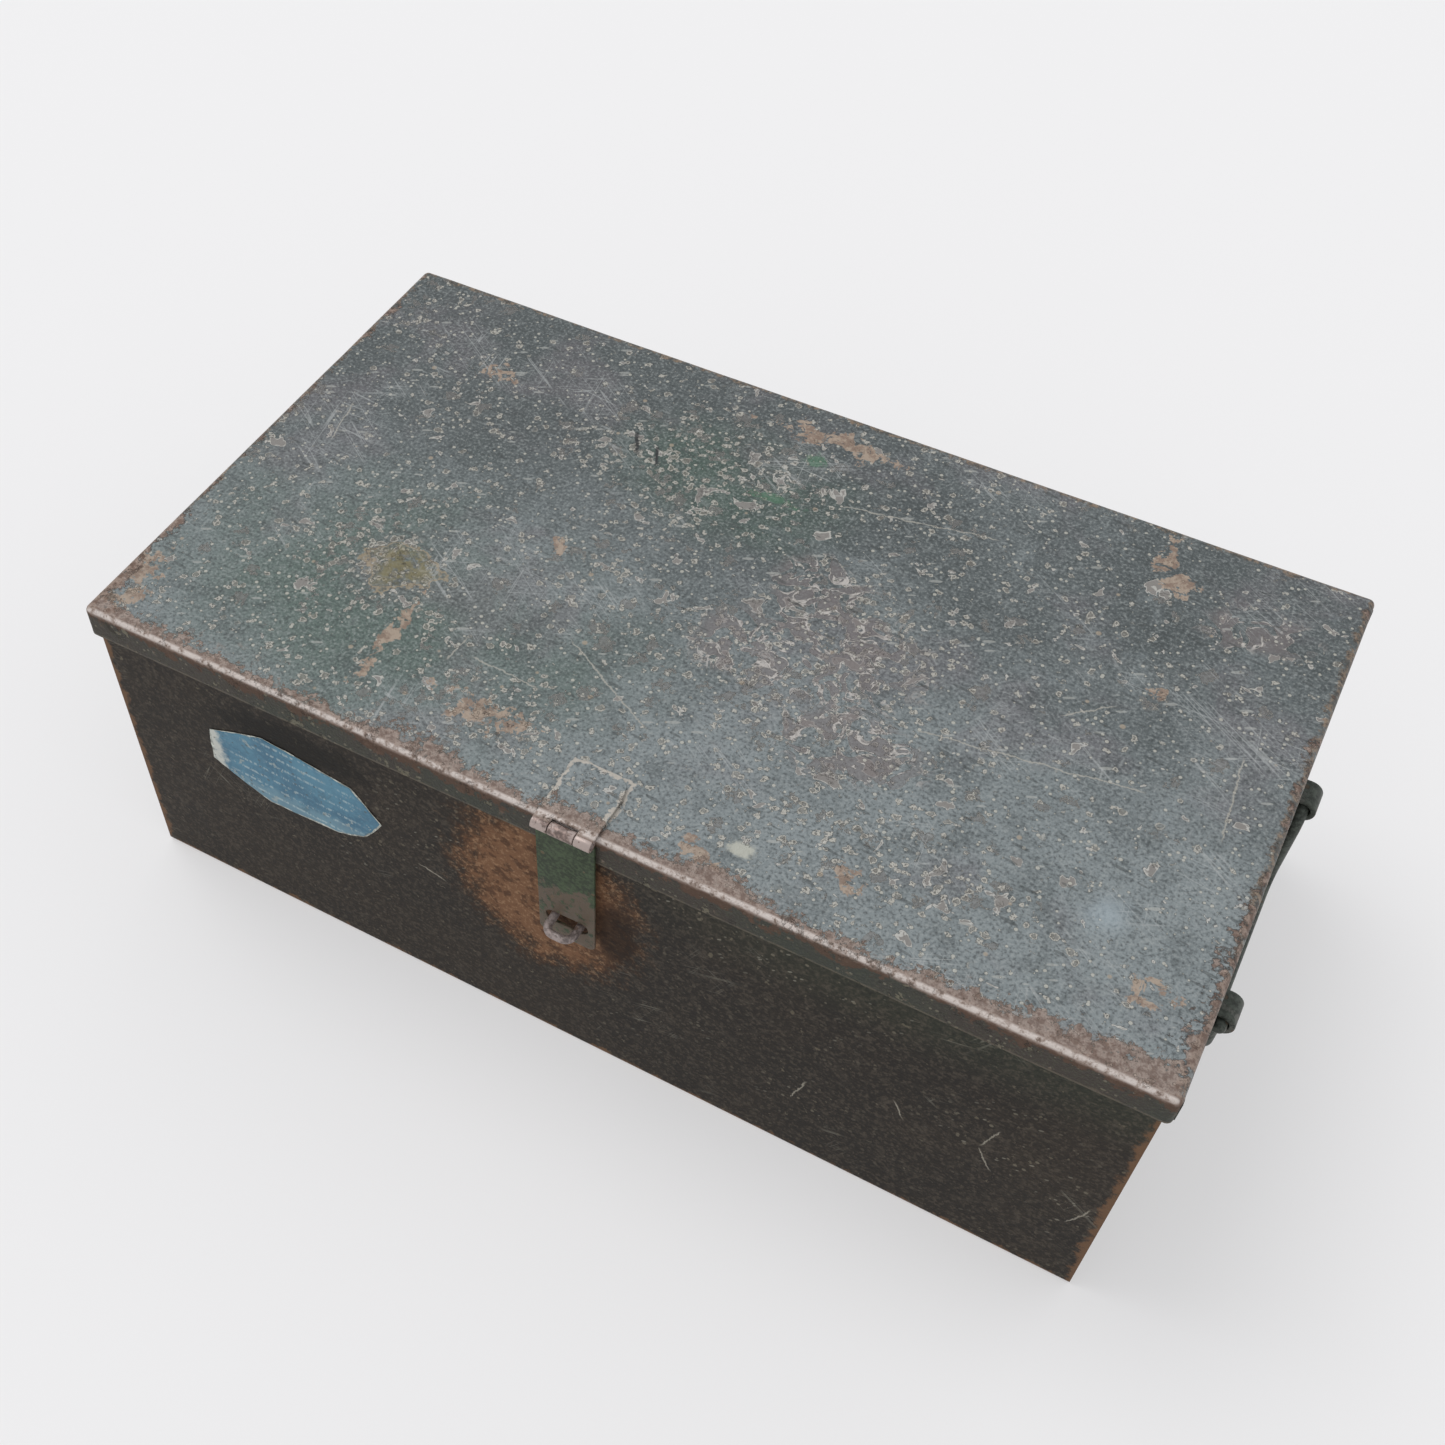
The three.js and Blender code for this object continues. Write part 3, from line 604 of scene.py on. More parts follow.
def leaf_crack(p):
    """A pale line where the paint broke along the outline of the leaf."""
    leaf_mid = (leaf_low.x + leaf_high.x) / 2
    leaf_half = (leaf_high.x - leaf_low.x) / 2
    beside = p.less(p.size(p.less(p.x, leaf_mid)), leaf_half - 0.0006)
    behind = p.less(p.y, leaf_high.y - 0.0006)
    shaky = p.sway(p.mist(120, 4, 0.6), 0.012)
    outline = p.size(p.add(p.most(beside, behind), shaky))
    crack = p.times(p.fade(outline, 0.0017, 0.0010), p.fade(p.ragged, 0.34, 0.42))
    p.lay(CRACK, p.times(crack, p.fade(p.down, 0.004, 0.002)), 0.80)


def lid_skirt(p, low, pins):
    """The sides of the lid, from just under the fold down to a paler hem."""
    skirt = p.fade(p.down, 0.0022, 0.0040)
    below = p.blend(p.fade(p.slow, 0.38, 0.58), SKIRT_DARK, SKIRT_BROWN)
    below = p.over(below, SKIRT_GRAIN, p.fade(p.fine, 0.45, 0.7), 0.4)
    below = p.over(below, SKIRT_CHIP, p.fade(p.ragged, 0.58, 0.62), 0.5)
    below = p.over(below, SKIRT_FLAKE, low, 0.6)
    below = p.over(below, SKIRT_PIN, pins, 0.5)
    hem = p.times(p.fade(p.down, SKIRT_DROP - 0.0009, SKIRT_DROP), p.fade(p.ragged, 0.38, 0.5))
    p.colour = p.blend(skirt, p.colour, p.over(below, SKIRT_HEM, hem, 0.45))
    return skirt


# %% Lid paint: folds worn to the steel, and a painted highlight on the front fold
WORN_BROWN, WORN_STEEL, WORN_PIT = shade(112, 90, 78), shade(156, 138, 127), shade(84, 70, 60)
DEEP_RUST = shade(88, 66, 53)
EDGE_DARK, EDGE_TAN, WORN_BORDER = shade(66, 60, 52), shade(140, 116, 92), shade(176, 158, 142)
FOLD_HIGHLIGHT = shade(218, 208, 201)


def worn_to(p, fold, reach, soft):
    """Where a fold is bare: nearer to it than a reach, with a ragged border."""
    past = p.less(p.add(fold, p.sway(p.ragged, 0.055)), reach)
    return past, p.fade(past, soft, -soft)


def lid_folds(p, front):
    """Bare front fold, parts of the side folds, what ran down, and a painted highlight on the front
    crest.
    """
    right_fold = p.add(p.less(lid_high.x, p.x), p.down)
    left_fold = p.add(p.less(p.x, lid_low.x), p.down)
    back_fold = p.add(p.less(lid_high.y, p.y), p.down)
    front_fold = p.add(front, p.down)
    along = p.mist(6.5, 3, 0.6)
    reach = p.add(0.0045, p.times(p.fade(along, 0.34, 0.66), 0.0120))
    past, front_worn = worn_to(p, front_fold, reach, 0.0008)
    reach = p.times(p.fade(along, 0.40, 0.62), p.times(p.fade(p.y, 0.12, -0.08), 0.0085))
    right_worn = worn_to(p, right_fold, reach, 0.0016)[1]
    reach = p.add(0.001, p.times(p.fade(p.y, -0.05, -0.16), 0.008))
    left_worn = worn_to(p, left_fold, reach, 0.0016)[1]
    on_top = p.fade(p.down, 0.0052, 0.0026)
    bare = p.times(p.most(front_worn, p.most(right_worn, left_worn)), on_top)

    mottle = p.mist(230, 5, 0.72)
    steel = p.blend(p.fade(mottle, 0.40, 0.62), WORN_BROWN, WORN_STEEL)
    steel = p.over(steel, WORN_PIT, p.fade(mottle, 0.58, 0.66), 0.6)
    fray = p.fade(front_fold, 0.030, 0.004)
    p.lay(steel, p.times(p.fade(p.ragged, p.less(0.66, p.times(fray, 0.11)), 0.68), fray), 0.70)
    drip_reach = p.times(p.fade(p.mist(60, 5, 0.7), 0.34, 0.66), 0.014)
    drips = p.times(p.fade(p.less(p.down, drip_reach), 0.0015, -0.0015), p.fade(front, 0.004, 0.002))
    p.lay(DEEP_RUST, drips, 0.80)
    rim = p.least(p.least(left_fold, right_fold), back_fold)
    thin_edge = p.fade(p.add(rim, p.sway(p.ragged, 0.055 * 0.35)), 0.0056, 0.0036)
    p.lay(p.blend(p.fade(mottle, 0.44, 0.58), EDGE_DARK, EDGE_TAN), thin_edge, 0.70)
    p.lay(steel, bare, 0.84)
    p.lay(WORN_BORDER, p.times(p.fade(p.size(past), 0.0011, 0.0004), on_top), 0.45)

    # A painted highlight along the crest of the front fold, where its rounded edge catches the light.
    crest = p.fade(p.size(p.less(front, p.down)), 0.0034, 0.0008)
    fold_highlight = p.times(p.times(p.fade(front_fold, 0.0042, 0.0030), crest), on_top)
    fold_highlight = p.times(fold_highlight, p.fade(mottle, 0.63, 0.46))
    p.lay(FOLD_HIGHLIGHT, fold_highlight, 0.84)
    return bare, fold_highlight, drips


# %% Lid paint: all of it, with its relief
LID_RELIEF = 0.0011


def make_lid_paint():
    p = Paint("lid_paint")
    p.slow = p.mist(7, 4, 0.6)
    p.fine = p.mist(560, 2.5, 0.6)
    p.ragged = p.mist(120, 8, 0.72)
    p.down = p.most(p.less(lid_high.z, p.z), 0.0)
    lid_ground(p)
    low, raised = lid_worms(p, *lid_flakes(p))
    pins = lid_scratches(p)
    lid_marks(p)
    rust = lid_rust(p)
    leaf_crack(p)
    skirt = lid_skirt(p, low, pins)
    bare, fold_highlight, drips = lid_folds(p, p.less(p.y, lid_low.y))
    deep = p.add(pins, bare)
    height = p.weighed((low, -0.6), (p.fine, 0.5), (raised, 0.5), (deep, -0.5), (p.ragged, 0.5))
    p.dents(height, LID_RELIEF)
    rough = p.weighed((p.less(p.fine, 0.5), 0.35), (p.most(rust, drips), 0.25), (skirt, 0.15))
    return p.finish(p.add(0.42, rough), p.times(p.most(bare, fold_highlight), 0.30), gloss=0.32)


lid_paint = make_lid_paint()
print("lid paint:", len(lid_paint.node_tree.nodes), "nodes")

# %% [markdown]
# ## The body's paint
# The sides were never polished by hands or sun, so they stay a brown that is nearly black.
# What shows on them is small: pale flecks in drifts, faint arcs where something dragged, a line
# of rust along the cut edges, and the orange bloom behind the hasp, which has swung against
# the paint until it wore through. Beside the strap a painted shadow darkens the front.

# %% Body paint: ground and flecks
BODY_DARK, BODY_BROWN, BODY_GREENISH = shade(50, 44, 38), shade(44, 40, 36), shade(52, 56, 46)
BODY_GRAIN, BODY_FINE, BODY_PIT = shade(80, 73, 64), shade(92, 84, 74), shade(30, 27, 25)
FLECK, FLECK_PIN, FLECK_CHIP = shade(150, 146, 132), shade(120, 113, 98), shade(112, 104, 88)
BODY_SCRATCH = shade(160, 154, 140)
# Where flecks gather on the front: middle and radii along the front and up it.
FLECK_DRIFTS = [
    ((0.069, 0.180), (0.060, 0.016)), ((0.113, 0.170), (0.070, 0.022)),
    ((0.135, 0.060), (0.030, 0.030)), ((0.236, 0.109), (0.040, 0.040)),
    ((0.276, 0.071), (0.020, 0.040)), ((-0.080, 0.150), (0.040, 0.040)),
]
BODY_HAIRS = [(0.35, 0.010, 0.58), (1.1, 0.009, 0.60), (-0.7, 0.009, 0.59)]
FRONT_SCRATCHES = [
    ((0.130, 0.052), (0.137, 0.078)), ((0.182, 0.100), (0.190, 0.084)),
    ((0.235, 0.118), (0.228, 0.094)), ((0.228, 0.094), (0.238, 0.074)),
    ((0.288, 0.085), (0.280, 0.060)), ((-0.100, 0.110), (-0.080, 0.104)),
]


def body_ground(p, grain):
    p.colour = p.blend(p.fade(p.slow, 0.38, 0.62), BODY_DARK, BODY_BROWN)
    high_up = p.times(p.fade(p.z, 0.140, 0.192), p.fade(p.x, 0.0, 0.14))
    p.lay(BODY_GREENISH, high_up, 0.7)
    p.lay(BODY_GRAIN, p.fade(grain, 0.50, 0.68), 0.35)
    p.lay(BODY_FINE, p.fade(p.fine, 0.48, 0.70), 0.50)
    p.lay(BODY_PIT, p.fade(p.fine, 0.50, 0.28), 0.60)


def body_flecks(p, front):
    near = p.fade(p.nearest(FLECK_DRIFTS, "xz", p.slow, 1.5), 1.2, 0.4)
    drifts = p.most(near, p.times(p.fade(p.mist(11, 4, 0.65), 0.54, 0.66), 0.6))
    dash = dots(p, 1.0, 0.30, 0.25, p.stretched(0.5, 210, 420, "xz"))
    dash = p.times(dash, p.add(0.10, p.times(drifts, 0.70)))
    chips = flakes(p, 190, p.less(0.69, p.times(drifts, 0.035)), 0.05)[0]
    pins = p.times(dots(p, 230, 0.28, 0.35), p.add(0.35, p.times(drifts, 0.65)))
    p.lay(FLECK, dash, 0.60)
    p.lay(FLECK_PIN, pins, 0.60)
    p.lay(FLECK_CHIP, chips, 0.55)
    for angle, thin, keep in BODY_HAIRS:
        p.lay(FLECK, scratches(p, angle, thin, keep, "xz"), 0.35)
    for start, stop in FRONT_SCRATCHES:
        line = stroke(p, start, stop, 0.0006, p.ragged, "xz")
        p.lay(BODY_SCRATCH, p.times(line, p.fade(front, 0.004, 0.002)), 0.7)
    return p.most(dash, chips)


# %% Body paint: bloom, stains, a painted strap shadow and cut edges
BLOOM, BLOOM_DARK = shade(124, 90, 66), shade(74, 55, 42)
BLOOM_GRIT, BLOOM_PIT = shade(164, 130, 100), shade(74, 52, 40)
STRAP_SHADOW, BLACK_STAIN, CUT_RUST = shade(38, 31, 27), shade(24, 23, 21), shade(116, 86, 62)
BODY_RELIEF = 0.0003


def body_bloom(p, grain, front):
    """Rust behind the hasp, a painted shadow of the strap beside it and a stain above the label."""
    on_front = p.fade(front, 0.0010, 0.0006)
    reach = p.reach((-0.018, 0.138), (0.058, 0.068), "xz", p.ragged, 1.2)
    bloom = p.times(p.fade(reach, 1.15, 0.75), on_front)
    tint = p.blend(p.fade(reach, 0.98, 0.62), BLOOM_DARK, BLOOM)
    tint = p.over(tint, BLOOM_GRIT, p.fade(p.fine, 0.50, 0.66), 0.6)
    tint = p.over(tint, BLOOM_PIT, p.fade(grain, 0.50, 0.38), 0.7)
    p.lay(tint, bloom, 0.85)
    # A painted shadow on the front, just right of the hanging strap that stands off the panel.
    strap_shadow = p.reach((0.024, 0.130), (0.015, 0.032), "xz", p.ragged, 1.4)
    p.lay(STRAP_SHADOW, p.times(p.fade(strap_shadow, 1.2, 0.5), on_front), 0.80)
    stain = p.reach((-0.172, 0.168), (0.050, 0.014), "xz", p.ragged, 2.0)
    p.lay(BLACK_STAIN, p.times(p.fade(stain, 1.2, 0.6), on_front), 0.75)
    return bloom


def cut_edges(p, front):
    """Rust where two faces meet: there the two distances add up to little."""
    end = p.least(p.less(body_high.x, p.x), p.less(p.x, body_low.x))
    face = p.least(front, p.less(body_high.y, p.y))
    cut = p.least(p.add(end, face), p.add(p.z, p.least(end, face)))
    p.lay(CUT_RUST, p.fade(p.add(cut, p.sway(p.ragged, 0.020)), 0.0046, 0.0014), 0.75)


def make_body_paint():
    p = Paint("body_paint")
    p.slow = p.mist(8, 4, 0.6)
    p.fine = p.mist(520, 2.5, 0.6)
    p.ragged = p.mist(120, 8, 0.72)
    grain = p.mist(170, 4, 0.65)
    front = p.less(p.y, body_low.y)
    body_ground(p, grain)
    chipped = body_flecks(p, front)
    bloom = body_bloom(p, grain, front)
    cut_edges(p, front)
    p.dents(p.weighed((p.fine, 0.6), (chipped, -0.4), (p.ragged, 0.5)), BODY_RELIEF)
    rough = p.weighed((p.less(p.fine, 0.5), 0.35), (bloom, 0.2))
    return p.finish(p.add(0.52, rough), gloss=0.08)


body_paint = make_body_paint()
print("body paint:", len(body_paint.node_tree.nodes), "nodes")

# %% [markdown]
# ## Green strap, bare steel, handle steel and tray paint
# The strap kept its first dark green, except at the tip, where fingers and the padlock took it
# down to brown. The staple and pins are bare steel gone dull. The handles were painted once
# and are rubbed to a dark grey. The tray, shut away from weather, is the cleanest piece. One
# recipe makes them all: base, rubbed patches, and freckles of rust.

# %% Smaller finishes
WORN_RELIEF = 0.0003


def toned(colour, factor):
    return tuple(c * factor for c in colour)


def worn_paint(name, base, worn, rust, wear, metal=0.0, rough=0.5, tip=None, gloss=0.2):
    """Paint with rubbed patches, pinholes and rust freckles; tip adds wear below a height."""
    p = Paint(name)
    fine = p.mist(450, 3, 0.6)
    patch = p.mist(60, 6, 0.66)
    p.colour = p.blend(p.fade(p.mist(45, 5, 0.65), 0.40, 0.62), toned(base, 0.75), toned(base, 1.25))
    p.lay(toned(base, 2.0), p.fade(fine, 0.44, 0.64), 0.6)
    p.lay(toned(base, 0.45), p.fade(fine, 0.48, 0.32), 0.6)
    rubbed = p.fade(patch, wear, wear + 0.05)
    if tip is not None:
        low = p.fade(p.add(p.z, p.sway(patch, 0.06)), tip, tip - 0.004)
        rubbed = p.most(rubbed, p.times(low, p.fade(p.mist(220, 4, 0.65), 0.36, 0.50)))
    p.lay(worn, rubbed, 0.9)
    freckle = dots(p, 210, 0.34, 0.35)
    p.lay(rust, freckle, 0.6)
    p.lay(worn, scratches(p, 0.4, 0.006, 0.54), 0.4)
    p.dents(p.weighed((fine, 0.4), (p.most(rubbed, freckle), -0.5)), WORN_RELIEF)
    return p.finish(p.add(rough, p.sway(fine, 0.3)), metal, gloss)


STRAP_TIP = 0.045
green_paint = worn_paint(
    "green_paint", shade(54, 65, 46), shade(94, 80, 68), shade(104, 84, 64),
    wear=0.62, tip=ends("hasp_strap")[0].z + STRAP_TIP,
)
bare_steel = worn_paint(
    "bare_steel", shade(128, 116, 112), shade(160, 148, 144), shade(96, 72, 56),
    wear=0.52, metal=0.40, rough=0.44, gloss=0.5,
)
dark_steel = worn_paint(
    "dark_steel", shade(66, 70, 64), shade(98, 98, 92), shade(92, 74, 58),
    wear=0.56, metal=0.25, rough=0.48,
)
tray_paint = worn_paint(
    "tray_paint", shade(78, 84, 80), shade(120, 120, 112), shade(110, 84, 60), wear=0.64
)
roll_steel = worn_paint(
    "roll_steel", shade(132, 114, 107), shade(176, 160, 153), shade(86, 60, 48),
    wear=0.50, metal=0.45, rough=0.38, gloss=0.5,
)
lining_paint = worn_paint(
    "lining_paint", shade(66, 78, 68), shade(112, 112, 100), shade(118, 92, 70), wear=0.64
)
SLOT_PAINT = {
    "lid_paint": lid_paint, "body_paint": body_paint, "green_paint": green_paint,
    "bare_steel": bare_steel, "dark_steel": dark_steel, "tray_paint": tray_paint,
}
print("finishes:", list(SLOT_PAINT))

# %% [markdown]
# ## Tools for sheet, bar and rivet
# Nearly every piece is one of four things: a flat blank cut from sheet, a folded profile pulled
# straight, a bent round bar, or a turned rivet. A filled 2-D curve with a small bevel makes the
# first two, because it takes holes and gives every edge the slight round that real sheet has.

# %% From mesh to piece


def smooth(mesh, angle=35):
    mesh.shade_smooth()
    mesh.set_sharp_from_angle(angle=math.radians(angle))


def mesh_of(built, name, angle=35):
    """The finished mesh of a bmesh, smooth except where it turns by more than an angle."""
    mesh = bpy.data.meshes.new(name)
    built.to_mesh(mesh)
    built.free()
    smooth(mesh, angle)
    return mesh


def settle(name, mesh, material, body, replaces=()):
    """Give a mesh its object, finish and body, and hide the frame's nodes it stands for."""
    obj = link(bpy.data.objects.new(name, mesh))
    mesh.materials.clear()
    mesh.materials.append(material)
    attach(obj, body)
    if replaces:
        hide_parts(*replaces)
    return obj


def joined(meshes):
    """Several meshes as one."""
    whole = bmesh.new()
    for mesh in meshes:
        whole.from_mesh(mesh)
        bpy.data.meshes.remove(mesh)
    return mesh_of(whole, "joined")


# %% Blank and profile


def arc(centre, radius, start, stop, steps=12):
    """Points of an arc, angles in degrees."""
    span = [math.radians(start + (stop - start) * i / steps) for i in range(steps + 1)]
    return [(centre[0] + radius * math.cos(a), centre[1] + radius * math.sin(a)) for a in span]


def facing(across, upward, at):
    """A place for a flat outline: its first axis, its second axis and its middle."""
    a, b = Vector(across), Vector(upward)
    return Matrix.Translation(at) @ Matrix((a, b, a.cross(b))).transposed().to_4x4()


def outline_curve(outlines, thickness, bevel):
    curve = bpy.data.curves.new("outline", "CURVE")
    curve.dimensions = "2D"
    curve.fill_mode = "BOTH"
    curve.extrude = thickness / 2 - bevel
    curve.bevel_depth = bevel
    curve.bevel_resolution = 2
    curve.offset = -bevel
    for points in outlines:
        spline = curve.splines.new("POLY")
        spline.points.add(len(points) - 1)
        for point, (a, b) in zip(spline.points, points, strict=True):
            point.co = (a, b, 0, 1)
        spline.use_cyclic_u = True
    return curve


def pulled(outlines, thickness, place, bevel):
    """A filled outline, with holes, given thickness about its plane, as a mesh."""
    curve = outline_curve(outlines, thickness, bevel)
    holder = link(bpy.data.objects.new("outline", curve))
    bpy.context.view_layer.update()
    seen = holder.evaluated_get(bpy.context.evaluated_depsgraph_get())
    rough_mesh = bpy.data.meshes.new_from_object(seen)
    bpy.data.objects.remove(holder)
    bpy.data.curves.remove(curve)
    rough_mesh.transform(place)
    built = bmesh.new()
    built.from_mesh(rough_mesh)
    bpy.data.meshes.remove(rough_mesh)
    bmesh.ops.remove_doubles(built, verts=built.verts, dist=1e-6)
    bmesh.ops.recalc_face_normals(built, faces=built.faces)
    return mesh_of(built, "outline")


# %% Rings of points, and the skin between them


def ring_of(built, centre, side, other, radius, count):
    """A ring of vertices about a centre, in the plane of two directions."""
    turns = [2 * math.pi * k / count for k in range(count)]
    return [built.verts.new(centre + (side * math.cos(a) + other * math.sin(a)) * radius) for a in turns]


def stitch(built, loops, count):
    """Faces between rings that follow each other; a ring may be a single point."""
    for one, two in zip(loops, loops[1:]):
        for k in range(count):
            n = (k + 1) % count
            corners = [one[k % len(one)], one[n % len(one)], two[n % len(two)], two[k % len(two)]]
            built.faces.new(list(dict.fromkeys(corners)))


# %% Bar
# Where the ends of a bar are rounded off: how far in, and how thick it is there, in radii.
END_ROUNDING = [(0.6, 1.0), (0.35, 0.94), (0.12, 0.80), (0.0, 0.55)]


def bent_path(corners, bend, steps):
    """Straight runs joined by true round bends."""
    corners = [Vector(c) for c in corners]
    path = [corners[0]]
    for before, at, after in zip(corners, corners[1:], corners[2:]):
        a = (before - at).normalized()
        b = (after - at).normalized()
        hub = at + (a + b) * bend
        for i in range(steps + 1):
            t = math.pi / 2 * i / steps
            path.append(hub - b * bend * math.cos(t) - a * bend * math.sin(t))
    path.append(corners[-1])
    return path


def bar(path, radius, side, sides):
    """A round bar along a flat path; side is the direction square to the path's plane."""
    side = Vector(side)
    aheads = []
    for i in range(len(path)):
        ahead = path[min(i + 1, len(path) - 1)] - path[max(i - 1, 0)]
        aheads.append(ahead.normalized())
    tip, tail = aheads[0] * radius, aheads[-1] * radius
    rings = [(path[0] + tip * inward, aheads[0], share) for inward, share in reversed(END_ROUNDING)]
    rings += [(point, ahead, 1.0) for point, ahead in list(zip(path, aheads))[1:-1]]
    rings += [(path[-1] - tail * inward, aheads[-1], share) for inward, share in END_ROUNDING]
    built = bmesh.new()
    loops = [
        ring_of(built, point, side, ahead.cross(side), radius * share, sides)
        for point, ahead, share in rings
    ]
    stitch(built, loops, sides)
    built.faces.new(reversed(loops[0]))
    built.faces.new(loops[-1])
    bmesh.ops.recalc_face_normals(built, faces=built.faces)
    return mesh_of(built, "bar", 50)


# %% Turned piece


def turned(profile, at, axis, sides):
    """A profile of (radius, height) turned about an axis that starts at a point."""
    axis = Vector(axis)
    side = axis.orthogonal().normalized()
    built = bmesh.new()
    loops = []
    for radius, height in profile:
        count = sides if radius > 1e-6 else 1
        loops.append(ring_of(built, Vector(at) + axis * height, side, axis.cross(side), radius, count))
    stitch(built, loops, sides)
    bmesh.ops.recalc_face_normals(built, faces=built.faces)
    return mesh_of(built, "turned", 40)


print("tools ready")

# %% [markdown]
# ## The lid
# On the real box the lid is one sheet, folded down on four sides, with the corners lapped and
# welded. Folding leaves a round of a few millimetres, and years of knocks leave shallow dents
# that only show where the light grazes. The skin is therefore one rounded box surface with
# closely set lines, pushed inward by a slow noise, and a thickness put on afterwards.

# %% Lid grid
SHEET = 0.0012
EDGE_ROUND = 0.004
# Lines along and across the lid, and how closely they are set at its round edges.
LID_LINES = (150, 86)
EDGE_BAND, EDGE_LINES, SKIRT_LINES = EDGE_ROUND * 1.6, 7, 8


def spaced(low, high, coarse_steps):
    """Positions from low to high, closely set near both ends."""
    edge = [EDGE_BAND * i / EDGE_LINES for i in range(EDGE_LINES)]
    inner = high - low - 2 * EDGE_BAND
    main = [low + EDGE_BAND + inner * i / coarse_steps for i in range(coarse_steps + 1)]
    return [low + e for e in edge] + main + [high - e for e in reversed(edge)]


def rounded(point, low, high):
    """The point moved onto a box whose top edges and upright corners are rounded."""
    inner = Vector((
        min(max(point.x, low.x + EDGE_ROUND), high.x - EDGE_ROUND),
        min(max(point.y, low.y + EDGE_ROUND), high.y - EDGE_ROUND),
        min(point.z, high.z - EDGE_ROUND),
    ))
    offset = point - inner
    return inner + offset.normalized() * EDGE_ROUND if offset.length > 1e-9 else point.copy()


# %% Lid skin


def cap_skin(low, high):
    """A box without a bottom, its top edges and corners rounded, normals outward."""
    xs = spaced(low.x, high.x, LID_LINES[0])
    ys = spaced(low.y, high.y, LID_LINES[1])
    band = high.z - EDGE_BAND
    zs = [low.z + (band - low.z) * i / SKIRT_LINES for i in range(SKIRT_LINES + 1)]
    zs += [band + EDGE_BAND * i / EDGE_LINES for i in range(1, EDGE_LINES + 1)]
    built = bmesh.new()
    known = {}

    def vert(x, y, z):
        key = (round(x, 7), round(y, 7), round(z, 7))
        if key not in known:
            known[key] = built.verts.new(rounded(Vector(key), low, high))
        return known[key]

    def face(*corners):
        unique = list(dict.fromkeys(vert(*c) for c in corners))
        if len(unique) > 2:
            built.faces.new(unique)

    for x0, x1 in zip(xs, xs[1:]):
        for y0, y1 in zip(ys, ys[1:]):
            face((x0, y0, high.z), (x1, y0, high.z), (x1, y1, high.z), (x0, y1, high.z))
    for z0, z1 in zip(zs, zs[1:]):
        for x0, x1 in zip(xs, xs[1:]):
            face((x0, low.y, z0), (x1, low.y, z0), (x1, low.y, z1), (x0, low.y, z1))
            face((x1, high.y, z0), (x0, high.y, z0), (x0, high.y, z1), (x1, high.y, z1))
        for y0, y1 in zip(ys, ys[1:]):
            face((high.x, y0, z0), (high.x, y1, z0), (high.x, y1, z1), (high.x, y0, z1))
            face((low.x, y1, z0), (low.x, y0, z0), (low.x, y0, z1), (low.x, y1, z1))
    built.normal_update()
    return built


# %% Dents, and the lid as a piece
# Each kind of dent: how wide, how deep, and the seed of its noise.
DENTS = [(0.11, 0.00045, 3.0), (0.022, 0.00018, 8.0)]


def dent(point, size, depth, seed):
    """A slow push inward, never outward, so that the skin keeps inside the frame's box."""
    value = noise.noise(Vector(point) / size + Vector((seed, seed * 2.3, 0)))
    return -depth * (0.5 + 0.5 * value)


skin = cap_skin(lid_low, lid_high)
for vert in skin.verts:
    vert.co += vert.normal * sum(dent(vert.co, *kind) for kind in DENTS)
skin_mesh = mesh_of(skin, "lid_skin", 60)
lid_skin = settle("lid_skin", skin_mesh, lid_paint, "lid", ["lid_shell"])
skin_mesh.materials.append(lining_paint)
thicken = lid_skin.modifiers.new("sheet", "SOLIDIFY")
thicken.thickness = SHEET
thicken.offset = -1
thicken.material_offset = 1
print("lid skin:", len(skin_mesh.polygons), "faces")

# %% [markdown]
# ## Lapped corners
# Where two skirts meet, a tab from one skirt was bent round the corner and welded down.
# It shows as a low slanting step. Each tab is a small blank, sunk into the side skirt for most
# of its thickness, and it ends in the slanted cut.

# %% Corner tabs
TAB = 0.0007
TAB_SUNK, TAB_EDGE = TAB * 0.32, 0.0002
TAB_START, TAB_WIDE, TAB_MIDDLE, TAB_NARROW = 0.0035, 0.016, 0.012, 0.003
TAB_FOOT, TAB_CUT, TAB_TOP = 0.0006, 0.006, 0.006


def corner_tab(side, end):
    """A tab on the end skirt, reaching back from a corner."""
    outer = lid_high.x if side > 0 else lid_low.x
    start = (lid_low.y if end < 0 else lid_high.y) - end * TAB_START
    bottom = lid_low.z + TAB_FOOT
    top = lid_high.z - TAB_TOP
    outline = [
        (start, bottom), (start - end * TAB_WIDE, bottom), (start - end * TAB_MIDDLE, bottom + TAB_CUT),
        (start - end * TAB_NARROW, top), (start, top),
    ]
    place = facing((0, 1, 0), (0, 0, 1), (outer - side * TAB_SUNK, 0, 0))
    return pulled([outline], TAB, place, TAB_EDGE)


tabs = [corner_tab(side, end) for side in (-1, 1) for end in (-1, 1)]
settle("lid_corner_tabs", joined(tabs), lid_paint, "lid")
print("corner tabs:", len(tabs))

# %% [markdown]
# ## Body, ends and tray sheets
# These stay the frame's own nodes: they are true folded sheets already. What they lack is the
# slight round of a sheared edge, which a narrow bevel gives, and their finish.

# %% Sheets kept from the frame
SIDES = ("left", "right")
THICK_EDGE, SHEET_EDGE, THIN_EDGE = 0.0004, 0.0003, 0.0002
kept_bevel = {"body_wrap": THICK_EDGE, "tray_pan": SHEET_EDGE, "staple_plate": SHEET_EDGE}
kept_bevel["tray_divider_long"] = THIN_EDGE
for side in SIDES:
    kept_bevel |= {f"end_panel_{side}": SHEET_EDGE, f"tray_rail_{side}": SHEET_EDGE}
    kept_bevel |= {f"tray_clip_{side}_front": THIN_EDGE, f"tray_clip_{side}_rear": THIN_EDGE}
    for thin in ("tray_divider", "hinge_lid_leaf", "hinge_body_leaf"):
        kept_bevel[f"{thin}_{side}"] = THIN_EDGE

